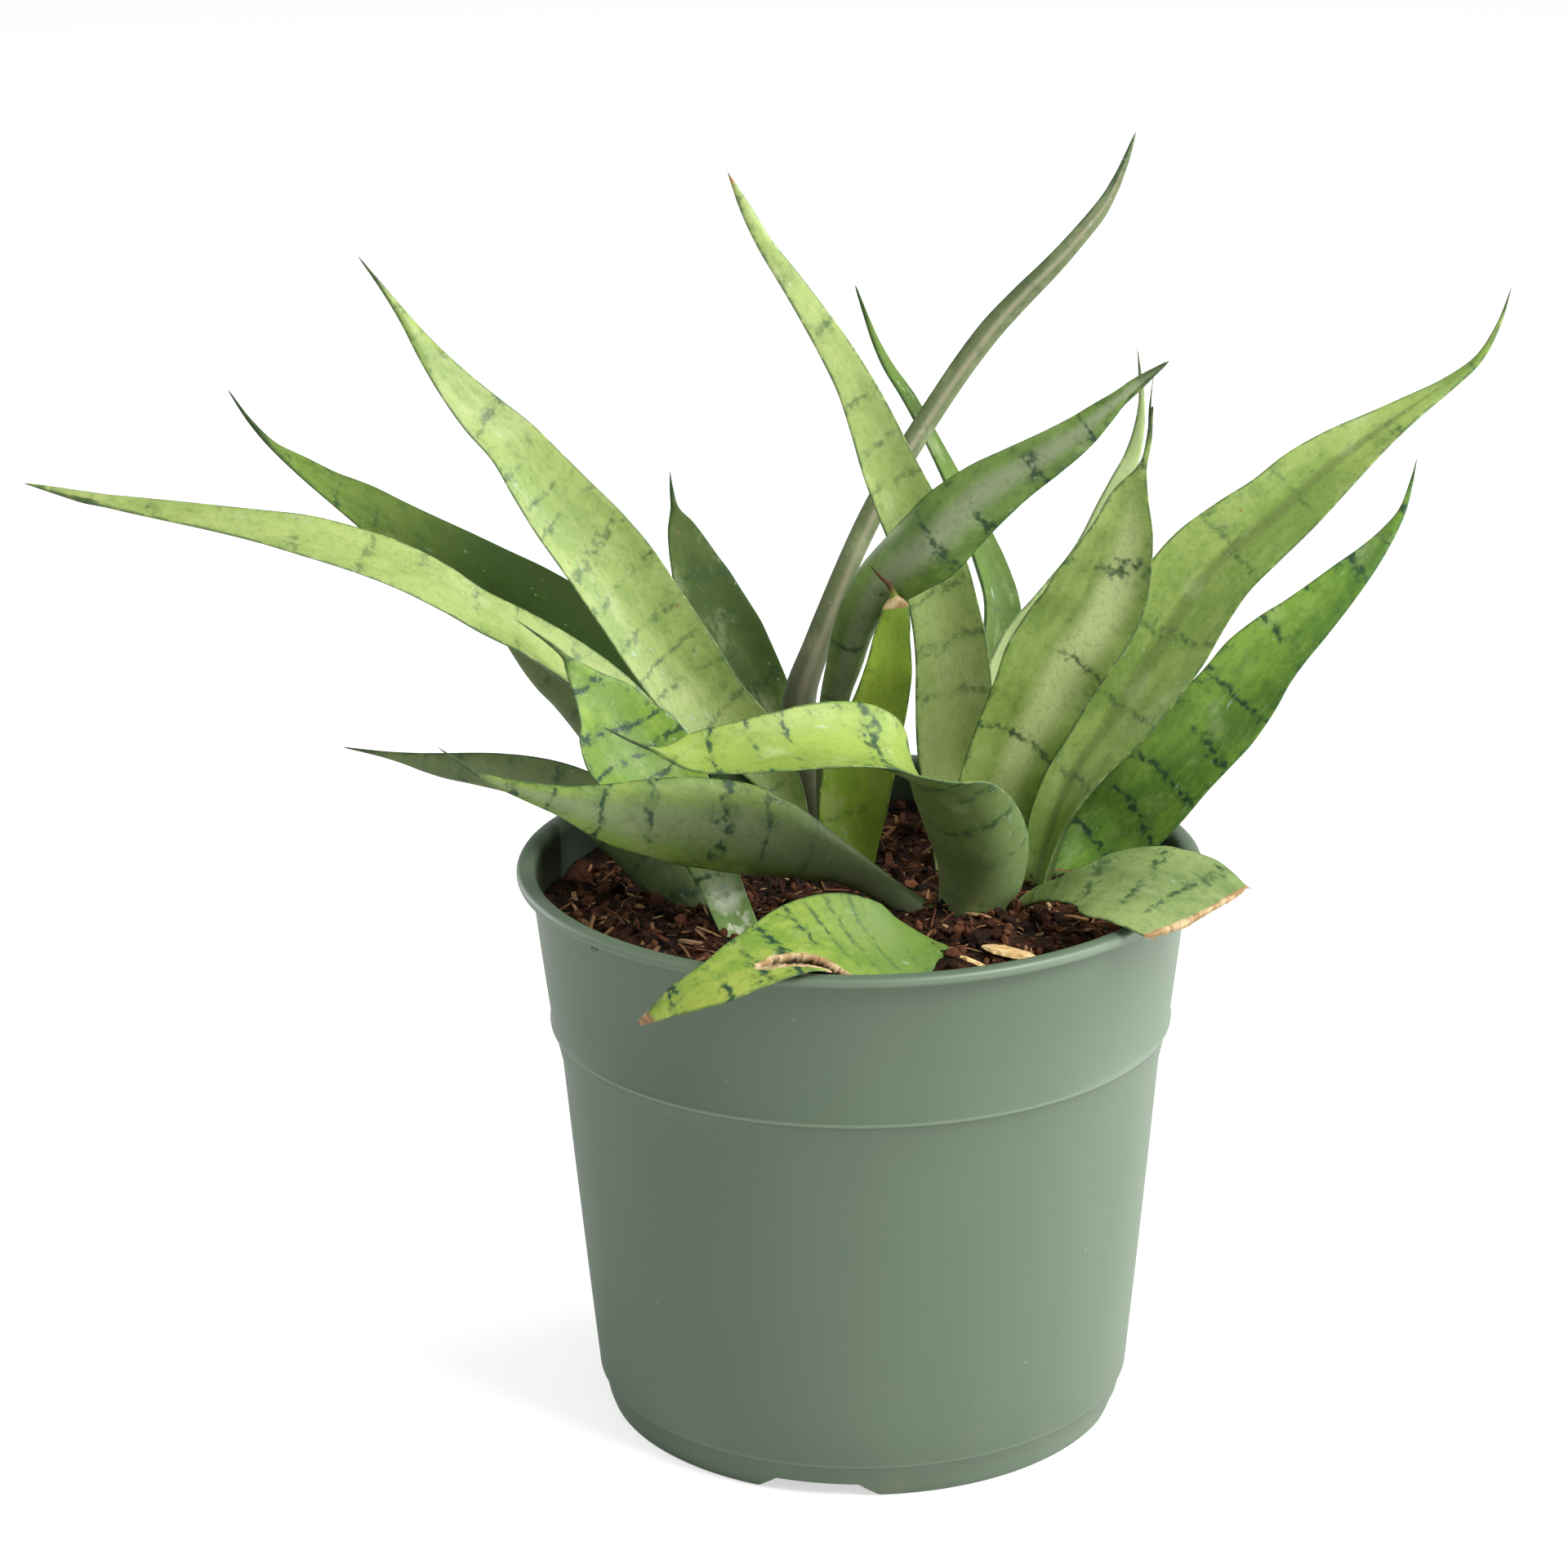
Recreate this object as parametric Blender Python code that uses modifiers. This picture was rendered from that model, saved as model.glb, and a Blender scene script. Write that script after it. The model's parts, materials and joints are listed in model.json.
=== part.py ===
"""A young snake plant in a moulded nursery pot: pot, potting mix, every leaf and the loose wood chips.

Metres, +Z up. The origin is the middle of the pot's underside and the plant's front faces -Y.
Leaf stations are typed in millimetres and turned into metres by MM.
"""

import math

import bmesh
import bpy
import numpy as np
from mathutils import Matrix

for old in list(bpy.data.objects):
    bpy.data.objects.remove(old, do_unlink=True)

MM = 0.001

# Pot: one moulding, a rolled lip over a plain collar, a soft step and a tapering body.
potHeight = 0.1388
lipHeight = 0.0030
lipOverhang = 0.0035
collarTopRadius = 0.0790
lipRadius = collarTopRadius + lipOverhang
collarFootRadius = 0.0754
collarFootHeight = 0.0985
ridgeProud = 0.0004
bodyTopRadius = 0.0728
bodyTopHeight = 0.0900
bodyFootRadius = 0.0656
footBandHeight = 0.0083
footStep = 0.0006
footRadius = 0.0630
potWall = 0.0012
floorThickness = 0.0016
potSteps = 96

# Drain pockets: recesses under the rim of the base, each with a hole up into the mix.
drainCount = 4
drainTurn = math.radians(-100)
drainHeight = 0.0037
drainTopWidth = 0.0194
drainFootWidth = 0.0300
drainDepth = 0.0130
drainHoleRadius = 0.0035

# Moulding nib under the lip.
nibTurn = math.radians(-139.5)
nibSize = 0.0018

# Potting mix.
soilDrop = 0.0128
soilTop = potHeight - soilDrop
soilSteps = 64

# Fits.
restGap = 0.0003
soilGap = 0.0003

# Leaves.
leafRings = 19
leafThickness = 0.0022
awlRoundness = 0.85
drapedLipRadius = 0.0825

partCollection = bpy.data.collections.new("potted_snake_plant")
bpy.context.scene.collection.children.link(partCollection)
cutterCollection = bpy.data.collections.new("cutters")
cutterCollection.hide_render = True
bpy.context.scene.collection.children.link(cutterCollection)


def makeMaterial(name, colour, roughness):
    material = bpy.data.materials.new(name)
    material.use_nodes = True
    shader = material.node_tree.nodes["Principled BSDF"]
    shader.inputs["Base Color"].default_value = (*colour, 1.0)
    shader.inputs["Roughness"].default_value = roughness
    material.diffuse_color = (*colour, 1.0)
    return material


materials = {
    "pot_plastic": makeMaterial("pot_plastic", (0.17, 0.25, 0.17), 0.40),
    "potting_mix": makeMaterial("potting_mix", (0.055, 0.026, 0.014), 0.95),
    "leaf_light": makeMaterial("leaf_light", (0.36, 0.52, 0.14), 0.42),
    "leaf_lime": makeMaterial("leaf_lime", (0.26, 0.46, 0.05), 0.42),
    "leaf_mid": makeMaterial("leaf_mid", (0.15, 0.28, 0.06), 0.42),
    "leaf_dark": makeMaterial("leaf_dark", (0.06, 0.10, 0.04), 0.45),
    "wood_chip": makeMaterial("wood_chip", (0.72, 0.48, 0.22), 0.80),
}


def addPart(name, mesh, material):
    part = bpy.data.objects.new(name, mesh)
    part.data.materials.append(materials[material])
    partCollection.objects.link(part)
    return part


def addCutter(name, mesh):
    cutter = bpy.data.objects.new(name, mesh)
    cutter.hide_render = True
    cutter.display_type = "WIRE"
    cutterCollection.objects.link(cutter)
    return cutter


def meshFrom(name, points, faces):
    mesh = bpy.data.meshes.new(name)
    mesh.from_pydata([tuple(point) for point in points], [], faces)
    shape = bmesh.new()
    shape.from_mesh(mesh)
    bmesh.ops.recalc_face_normals(shape, faces=shape.faces)
    shape.to_mesh(mesh)
    shape.free()
    return mesh


def profileMesh(name, profile):
    """An open line of (radius, height) points in the XZ plane, for the Screw modifier."""
    mesh = bpy.data.meshes.new(name)
    points = [(radius, 0.0, height) for radius, height in profile]
    mesh.from_pydata(points, [(i, i + 1) for i in range(len(points) - 1)], [])
    return mesh


def turn(part, steps):
    screw = part.modifiers.new("turn", "SCREW")
    screw.axis = "Z"
    screw.steps = steps
    screw.render_steps = steps
    screw.use_merge_vertices = True
    screw.merge_threshold = 0.00001
    screw.use_smooth_shade = True


def addBoolean(part, operation, cutter):
    boolean = part.modifiers.new(cutter.name, "BOOLEAN")
    boolean.operation = operation
    boolean.solver = "EXACT"
    boolean.object = cutter


def outerRadius(height):
    """Outside of the pot's wall at a height, below the lip."""
    heights = [0.0, footBandHeight, bodyTopHeight, collarFootHeight, potHeight - lipHeight]
    radii = [footRadius, bodyFootRadius, bodyTopRadius, collarFootRadius, collarTopRadius]
    return float(np.interp(height, heights, radii))


def innerRadius(height):
    return outerRadius(height) - potWall


# The pot's wall and floor as one line: up the inside, over the lip and down the outside.
lipFoot = potHeight - lipHeight
potProfile = [
    (0.0, floorThickness),
    (innerRadius(floorThickness) - 0.0015, floorThickness),
    (innerRadius(floorThickness + 0.0015), floorThickness + 0.0015),
    (innerRadius(bodyTopHeight), bodyTopHeight),
    (innerRadius(collarFootHeight), collarFootHeight),
    (innerRadius(lipFoot), lipFoot),
    (collarTopRadius - 0.0004, potHeight - 0.0012),
    (collarTopRadius + 0.0006, potHeight - 0.0002),
    (collarTopRadius + 0.0016, potHeight),
    (lipRadius - 0.0008, potHeight - 0.0003),
    (lipRadius, potHeight - 0.0013),
    (lipRadius, potHeight - 0.0029),
    (lipRadius - 0.0007, lipFoot + 0.0003),
    (collarTopRadius + 0.0006, lipFoot),
    (outerRadius(lipFoot - 0.0006), lipFoot - 0.0006),
    (outerRadius(collarFootHeight + 0.0012), collarFootHeight + 0.0012),
    (collarFootRadius + ridgeProud, collarFootHeight + 0.0007),
    (collarFootRadius + ridgeProud, collarFootHeight + 0.0002),
    (collarFootRadius - 0.0001, collarFootHeight - 0.0004),
    (collarFootRadius - 0.0011, collarFootHeight - 0.0040),
    (bodyTopRadius + 0.0003, bodyTopHeight + 0.0014),
    (bodyTopRadius, bodyTopHeight),
    (bodyFootRadius, footBandHeight + 0.0005),
    (bodyFootRadius - footStep, footBandHeight - 0.0003),
    (footRadius + 0.0003, 0.0006),
    (footRadius - 0.0003, 0.0),
    (0.0, 0.0),
]
pot = addPart("pot", profileMesh("pot", potProfile), "pot_plastic")
turn(pot, potSteps)


def pocketBlocks(name, spread, near, far, low, high):
    """A ring of trapezoid blocks lying along the radius, one for each drain pocket."""
    points = []
    faces = []
    slope = (drainFootWidth - drainTopWidth) / 2 / drainHeight
    for place in range(drainCount):
        angle = drainTurn + place * 2 * math.pi / drainCount
        along = np.array([math.cos(angle), math.sin(angle), 0.0])
        across = np.array([-math.sin(angle), math.cos(angle), 0.0])
        start = len(points)
        for radius in (near, far):
            for height in (low, high):
                half = drainFootWidth / 2 + spread - slope * height
                for side in (-1, 1):
                    points.append(along * radius + across * half * side + np.array([0.0, 0.0, height]))
        for face in ((0, 1, 3, 2), (4, 6, 7, 5), (0, 4, 5, 1), (2, 3, 7, 6), (0, 2, 6, 4), (1, 5, 7, 3)):
            faces.append([start + corner for corner in face])
    return meshFrom(name, points, faces)


pocketNear = footRadius - drainDepth
pocketShell = addCutter(
    "pocket_shell",
    pocketBlocks(
        "pocket_shell",
        2.0 * potWall,
        pocketNear - potWall,
        footRadius,
        0.0002,
        drainHeight + potWall,
    ),
)


def discMesh(name, radius, low, high):
    shape = bmesh.new()
    bmesh.ops.create_cone(
        shape, cap_ends=True, segments=potSteps, radius1=radius, radius2=radius, depth=high - low
    )
    bmesh.ops.translate(shape, verts=shape.verts, vec=(0.0, 0.0, (low + high) / 2))
    mesh = bpy.data.meshes.new(name)
    shape.to_mesh(mesh)
    shape.free()
    return mesh


# Each pocket's ceiling ends inside the wall, on the same round as the foot.
footDisc = discMesh("foot_round", footRadius - potWall / 2, -0.0010, 2 * drainHeight)
footRound = addCutter("foot_round", footDisc)
addBoolean(pocketShell, "INTERSECT", footRound)
pocketSpace = addCutter(
    "pocket_space",
    pocketBlocks("pocket_space", 0.0, pocketNear, lipRadius, -0.0010, drainHeight),
)


def drainHoles(name, low, high):
    shape = bmesh.new()
    for place in range(drainCount):
        angle = drainTurn + place * 2 * math.pi / drainCount
        made = bmesh.ops.create_cone(
            shape,
            cap_ends=True,
            segments=20,
            radius1=drainHoleRadius,
            radius2=drainHoleRadius,
            depth=high - low,
        )
        radius = pocketNear + drainDepth * 0.42
        shift = (radius * math.cos(angle), radius * math.sin(angle), (low + high) / 2)
        bmesh.ops.translate(shape, verts=made["verts"], vec=shift)
    mesh = bpy.data.meshes.new(name)
    shape.to_mesh(mesh)
    shape.free()
    return mesh


drainHole = addCutter("drain_hole", drainHoles("drain_hole", drainHeight - 0.0010, drainHeight + 0.0030))

nibCentre = np.array(
    [
        (collarTopRadius + nibSize * 0.65) * math.cos(nibTurn),
        (collarTopRadius + nibSize * 0.65) * math.sin(nibTurn),
        lipFoot - nibSize * 0.40,
    ]
)
nibShape = bmesh.new()
bmesh.ops.create_cube(nibShape, size=nibSize)
bmesh.ops.rotate(nibShape, verts=nibShape.verts, matrix=Matrix.Rotation(nibTurn, 3, "Z"))
bmesh.ops.translate(nibShape, verts=nibShape.verts, vec=nibCentre)
nibMesh = bpy.data.meshes.new("nib")
nibShape.to_mesh(nibMesh)
nibShape.free()
nib = addCutter("nib", nibMesh)

addBoolean(pot, "UNION", pocketShell)
addBoolean(pot, "UNION", nib)
addBoolean(pot, "DIFFERENCE", pocketSpace)
addBoolean(pot, "DIFFERENCE", drainHole)

# Potting mix: it fills the pot to a little below the lip and sits over the drain pockets.
soilFloor = floorThickness + soilGap
soilProfile = [
    (0.0, soilTop),
    (innerRadius(soilTop) - soilGap, soilTop),
    (innerRadius(collarFootHeight) - soilGap, collarFootHeight),
    (innerRadius(bodyTopHeight) - soilGap, bodyTopHeight),
    (innerRadius(floorThickness + 0.0015) - soilGap - 0.0001, floorThickness + 0.0016),
    (innerRadius(floorThickness) - 0.0016 - soilGap, soilFloor),
    (0.0, soilFloor),
]
soil = addPart("soil", profileMesh("soil", soilProfile), "potting_mix")
turn(soil, soilSteps)
soilPocket = addCutter(
    "soil_pocket",
    pocketBlocks(
        "soil_pocket",
        2.0 * potWall + 1.6 * soilGap,
        pocketNear - potWall - soilGap,
        lipRadius,
        0.0,
        drainHeight + potWall + soilGap,
    ),
)
addBoolean(soil, "DIFFERENCE", soilPocket)

# Every leaf: stations along its middle line in millimetres, from the mix to the tip, with heights above
# the mix. A leaf with "overLip" lies over the lip in that direction, and its heights are from the lip's
# top. "width" is the full width at each station. "face" is the way the hollow upper side looks, as
# (azimuth, elevation) in degrees at even steps from root to tip, and "cup" is the depth of the hollow, as
# a part of the half width, at the root and the tip.
leaves = {
    "leaf_curled_front": {
        "material": "leaf_lime",
        "line": [(27, -8, 0), (29, -11, 11), (27, -18, 23), (22, -27, 35), (13, -36, 47), (3, -42, 54),
                 (-9, -47, 56), (-20, -51, 56), (-31, -54, 56), (-39, -55, 56), (-45, -56, 57), (-57, -57, 63)],
        "width": [16, 22, 24, 23, 23, 22, 20, 17, 14, 10, 2, 0],
        "face": [(85, 5), (85, 25), (88, 62), (-88, 72), (-87, 62), (-86, 57), (-85, 55), (-85, 55)],
        "cup": (0.75, 0.15),
    },
    "leaf_cut": {
        "material": "leaf_mid",
        "line": [(40, 0, -12.8), (41, -7, -8.8), (45, -16, -4), (51, -25, 0.7), (57, -30, 3.2), (63, -37, 5),
                 (70, -44, 5.4), (77, -53, 3.7)],
        "width": [6, 6, 6.5, 12, 22, 30, 33, 31],
        "overLip": -30,
        "face": [(180, 45), (-174, 45), (-165, 57), (-148, 73), (-103, 77)],
        "cup": (0.30, 0.03),
    },
    "leaf_wide_right": {
        "material": "leaf_light",
        "line": [(43, 12, 0), (46, 18, 11), (52, 22, 26), (62, 25, 40), (72, 28, 55), (89, 35, 77),
                 (100, 38, 85), (114, 44, 96), (133, 51, 108), (148, 56, 117), (154, 58, 122), (161, 62, 138)],
        "width": [13, 16, 21, 26, 28, 24, 21, 18, 8, 3, 2, 0],
        "face": [(-150, 10), (-115, 25), (-110, 35), (-110, 35)],
        "cup": (0.55, 0.15),
    },
    "leaf_low_right": {
        "material": "leaf_mid",
        "line": [(52, 17, 0), (60, 20, 8), (69, 19, 19), (79, 19, 31), (90, 20, 43), (99, 23, 55),
                 (107, 25, 62), (120, 29, 74), (127, 32, 81), (132, 34, 88), (136, 38, 101)],
        "width": [12, 23, 26, 23, 22, 19, 15, 9, 5, 2, 0],
        "face": [(-140, 15), (-110, 30), (-110, 35), (-110, 35)],
        "cup": (0.50, 0.12),
    },
    "leaf_front_channel": {
        "material": "leaf_light",
        "line": [(31, 10, 0), (31, 10, 17), (33, 6, 28), (37, 3, 40), (42, 0, 51), (47, -3, 63),
                 (53, -5, 72), (58, -7, 83), (62, -9, 96), (64, -10, 106), (66, -11, 111), (68, -12, 132)],
        "width": [13, 19, 19, 20, 22, 24, 24, 22, 14, 7, 2, 0],
        "face": [(-80, 8), (-85, 20), (-100, 20)],
        "cup": (0.65, 0.30),
    },
    "leaf_behind_channel": {
        "material": "leaf_light",
        "line": [(37, 33, 0), (34, 38, 19), (35, 43, 34), (39, 47, 50), (48, 51, 61), (57, 56, 72),
                 (64, 61, 86), (69, 65, 96), (71, 67, 106), (70, 71, 122)],
        "width": [9, 12, 12, 12, 10, 8, 6, 4, 2, 0],
        "face": [(-60, 0), (-70, 10), (-90, 10)],
        "cup": (0.60, 0.20),
    },
    "leaf_tall_centre": {
        "material": "leaf_light",
        "line": [(24, 28, 0), (24, 31, 20), (23, 30, 37), (23, 29, 49), (21, 26, 65), (17, 22, 81),
                 (8, 16, 103), (-1, 10, 127), (-14, 5, 150), (-21, 3, 161), (-25, 2, 169), (-29, 0, 178)],
        "width": [11, 18, 19, 19, 17, 17, 14, 9, 6, 4, 3, 0],
        "face": [(-80, 5), (-80, 12), (-70, 15), (-60, 20)],
        "cup": (0.50, 0.12),
    },
    "leaf_slender_back": {
        "material": "leaf_mid",
        "line": [(30, 48, 0), (34, 63, 23), (35, 70, 38), (36, 76, 54), (31, 83, 69), (22, 93, 88),
                 (12, 102, 105), (7, 106, 112), (4, 108, 119), (0, 111, 130)],
        "width": [10, 18, 20, 16, 14, 9, 7, 5, 2, 0],
        "face": [(-40, 0), (-30, 10), (-20, 10)],
        "cup": (0.45, 0.20),
    },
    "leaf_crossing": {
        "material": "leaf_mid",
        "line": [(-6, 44, 0), (-7, 42, 22), (-6, 38, 39), (-3, 32, 52), (1, 23, 67), (9, 12, 80),
                 (17, 6, 88), (26, 3, 98), (36, 0, 106), (50, -4, 116), (63, -7, 128), (72, -8, 135)],
        "width": [8, 7, 7, 9, 11, 15, 18, 17, 13, 9, 3, 0],
        "face": [(90, 0), (100, -25), (110, -30), (110, -30)],
        "cup": (0.50, 0.20),
    },
    "leaf_slender_right": {
        "material": "leaf_dark",
        "line": [(-14, 56, 0), (-15, 55, 22), (-14, 58, 38), (-10, 62, 48), (-3, 68, 65), (7, 76, 84),
                 (17, 84, 99), (34, 94, 121), (54, 104, 140), (64, 110, 151), (67, 112, 156), (72, 116, 168)],
        "width": [8, 9, 8, 7, 6, 6, 6, 6, 5, 4, 2, 0],
        "face": [(80, 0), (120, -25), (120, -25), (120, -10)],
        "cup": (0.60, 0.30),
    },
    "leaf_tall_left": {
        "material": "leaf_light",
        "line": [(-17, 40, 0), (-18, 45, 12), (-25, 43, 25), (-38, 40, 39), (-45, 39, 49), (-62, 38, 76),
                 (-75, 38, 93), (-84, 38, 106), (-93, 39, 115), (-102, 41, 126), (-111, 43, 139), (-120, 45, 151)],
        "width": [10, 9, 15, 21, 24, 24, 20, 15, 12, 7, 2, 0],
        "face": [(-60, 5), (-62, 25), (-60, 30), (-60, 30)],
        "cup": (0.50, 0.12),
    },
    "leaf_short_back": {
        "material": "leaf_dark",
        "line": [(-18, 66, 0), (-23, 72, 23), (-33, 80, 44), (-40, 84, 58), (-45, 88, 71), (-47, 90, 77),
                 (-48, 92, 86)],
        "width": [10, 17, 20, 17, 9, 2, 0],
        "face": [(-60, 0), (-60, 10), (-60, 10)],
        "cup": (0.45, 0.15),
    },
    "leaf_far_left": {
        "material": "leaf_light",
        "line": [(-31, 42, 0), (-42, 30, 21), (-57, 20, 44), (-79, 12, 64), (-91, 8, 72), (-102, 3, 81),
                 (-127, -4, 93), (-144, -7, 98), (-162, -9, 102), (-177, -10, 105), (-193, -11, 109)],
        "width": [9, 15, 18, 15, 15, 17, 15, 10, 7, 4, 0],
        "face": [(-20, 30), (-45, 55), (-60, 60), (-60, 60)],
        "cup": (0.40, 0.10),
    },
    "leaf_back_left": {
        "material": "leaf_mid",
        "line": [(-25, 56, 0), (-40, 62, 21), (-58, 66, 39), (-77, 68, 54), (-97, 68, 65), (-113, 66, 75),
                 (-128, 63, 87), (-135, 61, 92), (-141, 60, 98), (-146, 59, 102), (-155, 56, 116)],
        "width": [9, 17, 24, 25, 24, 21, 13, 8, 5, 2, 0],
        "face": [(-20, 20), (-45, 50), (-60, 55), (-60, 55)],
        "cup": (0.40, 0.12),
    },
    "leaf_under_left": {
        "material": "leaf_dark",
        "line": [(-40, 23, 0), (-50, 33, 13), (-59, 39, 28), (-69, 43, 39), (-78, 46, 46), (-92, 50, 60)],
        "width": [9, 15, 17, 15, 11, 0],
        "face": [(80, 20), (90, 15), (90, 15)],
        "cup": (0.40, 0.15),
    },
    "leaf_bright_left": {
        "material": "leaf_lime",
        "line": [(-28, -23, 0), (-33, -15, 10), (-40, -8, 23), (-49, -2, 34), (-56, 1, 42), (-60, 3, 49),
                 (-65, 4, 55), (-70, 4, 62), (-81, 4, 71)],
        "width": [9, 10, 15, 26, 26, 18, 9, 2, 0],
        "face": [(-75, 5), (-65, 25), (-65, 30), (-65, 30)],
        "cup": (0.50, 0.12),
    },
    "leaf_low_left": {
        "material": "leaf_mid",
        "line": [(13, -7, 0), (5, -8, 7), (-2, -12, 13), (-10, -16, 18), (-18, -21, 23), (-28, -26, 28),
                 (-42, -31, 32), (-57, -34, 35), (-67, -35, 38), (-78, -34, 41), (-85, -33, 43), (-98, -31, 51)],
        "width": [8, 7, 9, 14, 19, 22, 21, 15, 8, 4, 2, 0],
        "face": [(100, 20), (100, -5), (100, -5), (100, 0)],
        "cup": (0.45, 0.15),
    },
    "leaf_thin_low_left": {
        "material": "leaf_dark",
        "line": [(-41, -1, 0), (-50, 5, 9), (-61, 14, 17), (-72, 22, 22), (-81, 26, 24), (-92, 30, 25),
                 (-104, 32, 26), (-116, 34, 28), (-128, 35, 30)],
        "width": [11, 18, 18, 14, 12, 10, 7, 2, 0],
        "face": [(90, 20), (90, 10), (90, 20)],
        "cup": (0.40, 0.15),
    },
    "leaf_over_rim": {
        "material": "leaf_lime",
        "line": [(20, -35, -12.8), (15, -38, -9.3), (9, -45, -4.8), (0, -54, -0.3), (-10, -65, 3.7),
                 (-22, -78, 4.2), (-32, -86, 1.2), (-41, -88, -2.8), (-49, -90, -7.8)],
        "width": [6, 11, 21, 28, 26, 19, 13, 7, 0],
        "overLip": -105,
        "face": [(-5, 72), (-19, 50), (-22, 58), (-60, 75), (-95, 60), (-105, 40)],
        "cup": (0.25, 0.02),
    },
    "leaf_broken": {
        "material": "leaf_lime",
        "line": [(-1, 27, 0), (-2, 26, 7), (-2, 24, 15), (-1, 22, 24), (1, 20, 33), (5, 17, 46),
                 (7, 14, 55), (8, 12, 64), (9, 10, 72), (8, 8.5, 77), (5, 6, 81), (3, 4, 84)],
        "width": [9, 14, 17, 18, 17.5, 14, 12, 9, 6.5, 3, 1.4, 0],
        "face": [(-80, 5), (-75, 15), (-80, 20)],
        "cup": (0.45, 0.25),
    },
}


def curveThrough(values, stations, wanted):
    """Smooth values through the stations, with the slope at each taken from its neighbours."""
    values = np.asarray(values, float).reshape(len(stations), -1)
    slopes = np.gradient(values, stations, axis=0)
    place = np.clip(np.searchsorted(stations, wanted, side="right") - 1, 0, len(stations) - 2)
    span = (stations[place + 1] - stations[place])[:, None]
    u = (wanted - stations[place])[:, None] / span
    first = (1 + 2 * u) * (1 - u) ** 2 * values[place] + u * (1 - u) ** 2 * span * slopes[place]
    second = u**2 * (3 - 2 * u) * values[place + 1] - u**2 * (1 - u) * span * slopes[place + 1]
    return first + second


def unit(vectors):
    return vectors / np.linalg.norm(vectors, axis=-1, keepdims=True)


def direction(azimuth, elevation):
    turned = math.radians(azimuth)
    raised = math.radians(elevation)
    return np.array(
        [math.cos(raised) * math.cos(turned), math.cos(raised) * math.sin(turned), math.sin(raised)]
    )


across = np.array([-1.0, -0.55, 0.0, 0.55, 1.0])


def leafMesh(name, leaf):
    """A loft of crescent sections, flat on the mix at the root and drawn to an awl point at the tip."""
    line = np.array(leaf["line"], float) * MM
    if "overLip" in leaf:
        line += (lipRadius - drapedLipRadius) * direction(leaf["overLip"], 0)
        line[:, 2] += potHeight
    else:
        line[:, 2] += soilTop
    width = np.array(leaf["width"], float) * MM
    hasTip = width[-1] == 0
    steps = np.linalg.norm(np.diff(line, axis=0), axis=1)
    stations = np.concatenate([[0.0], np.cumsum(steps)])
    length = stations[-1]
    wanted = np.linspace(0.0, 1.0, leafRings)
    wanted = length * (0.88 * wanted + 0.12 * np.sin(wanted * math.pi / 2))
    centre = curveThrough(line, stations, wanted)
    fine = curveThrough(line, stations, np.clip(wanted + 0.0005, 0, length))
    back = curveThrough(line, stations, np.clip(wanted - 0.0005, 0, length))
    tangent = unit(fine - back)
    half = np.maximum(np.interp(wanted, stations, width), 0.0004)[:, None] / 2
    share = wanted / length
    ends = np.array([direction(*angles) for angles in leaf["face"]])
    keys = np.linspace(0, 1, len(ends))
    facing = np.stack([np.interp(share, keys, ends[:, axis]) for axis in range(3)], axis=1)
    facing = unit(facing - (facing * tangent).sum(1, keepdims=True) * tangent)
    sideways = np.cross(tangent, facing)
    cup = np.interp(share, [0, 1], leaf["cup"])[:, None]
    cup = cup * np.clip((half - 0.0012) / 0.003, 0, 1)
    thick = leafThickness * (1.25 - 0.55 * share[:, None])
    thick = np.minimum(thick, awlRoundness * 2 * half)
    rest = soilTop + restGap
    centre[0, 2] = rest
    centre[:, 2] += (rest - line[0, 2]) * np.clip(1 - share * 4, 0, 1)
    centre[0, 2] = rest
    rings = []
    for i in range(leafRings - hasTip):
        bow = cup[i] * half[i] * (across**2 - 0.45)
        depth = thick[i] * (1 - 0.8 * across**2) / 2
        top = centre[i] + np.outer(across * half[i], sideways[i]) + np.outer(bow + depth, facing[i])
        low = centre[i] + np.outer(across * half[i], sideways[i]) + np.outer(bow - depth, facing[i])
        edge = (top + low) / 2
        ring = [edge[0], top[1], top[2], top[3], edge[4], low[3], low[2], low[1]]
        ring = np.array(ring)
        if i == 0:
            ring += np.outer((rest - ring[:, 2]) / tangent[0, 2], tangent[0])
        else:
            ring[:, 2] = np.maximum(ring[:, 2], rest + 0.0006 * min(i, 3))
        rings.append(ring)
    count = len(across) * 2 - 2
    points = list(np.concatenate(rings))
    faces = [list(range(count))]
    for i in range(len(rings) - 1):
        for j in range(count):
            a, b = i * count + j, i * count + (j + 1) % count
            faces.append([a, b, b + count, a + count])
    last = (len(rings) - 1) * count
    if hasTip:
        points.append(centre[-1])
        for j in range(count):
            faces.append([last + j, last + (j + 1) % count, len(points) - 1])
    else:
        faces.append([last + j for j in range(count)])
    return meshFrom(name, points, faces)


for name, leaf in leaves.items():
    part = addPart(name, leafMesh(name, leaf), leaf["material"])
    part.data.shade_smooth()

# Loose wood chips lying on the mix: middle (mm), length, width and thickness (mm), turn in degrees.
chips = {
    "wood_chip_large": {"at": (35, -40), "size": (13, 5, 1.8), "turn": -14},
    "wood_chip_upright": {"at": (26, -47), "size": (7, 3.5, 1.5), "turn": 25},
    "wood_chip_small": {"at": (22, -24), "size": (5, 3, 1.2), "turn": 35},
}


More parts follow.
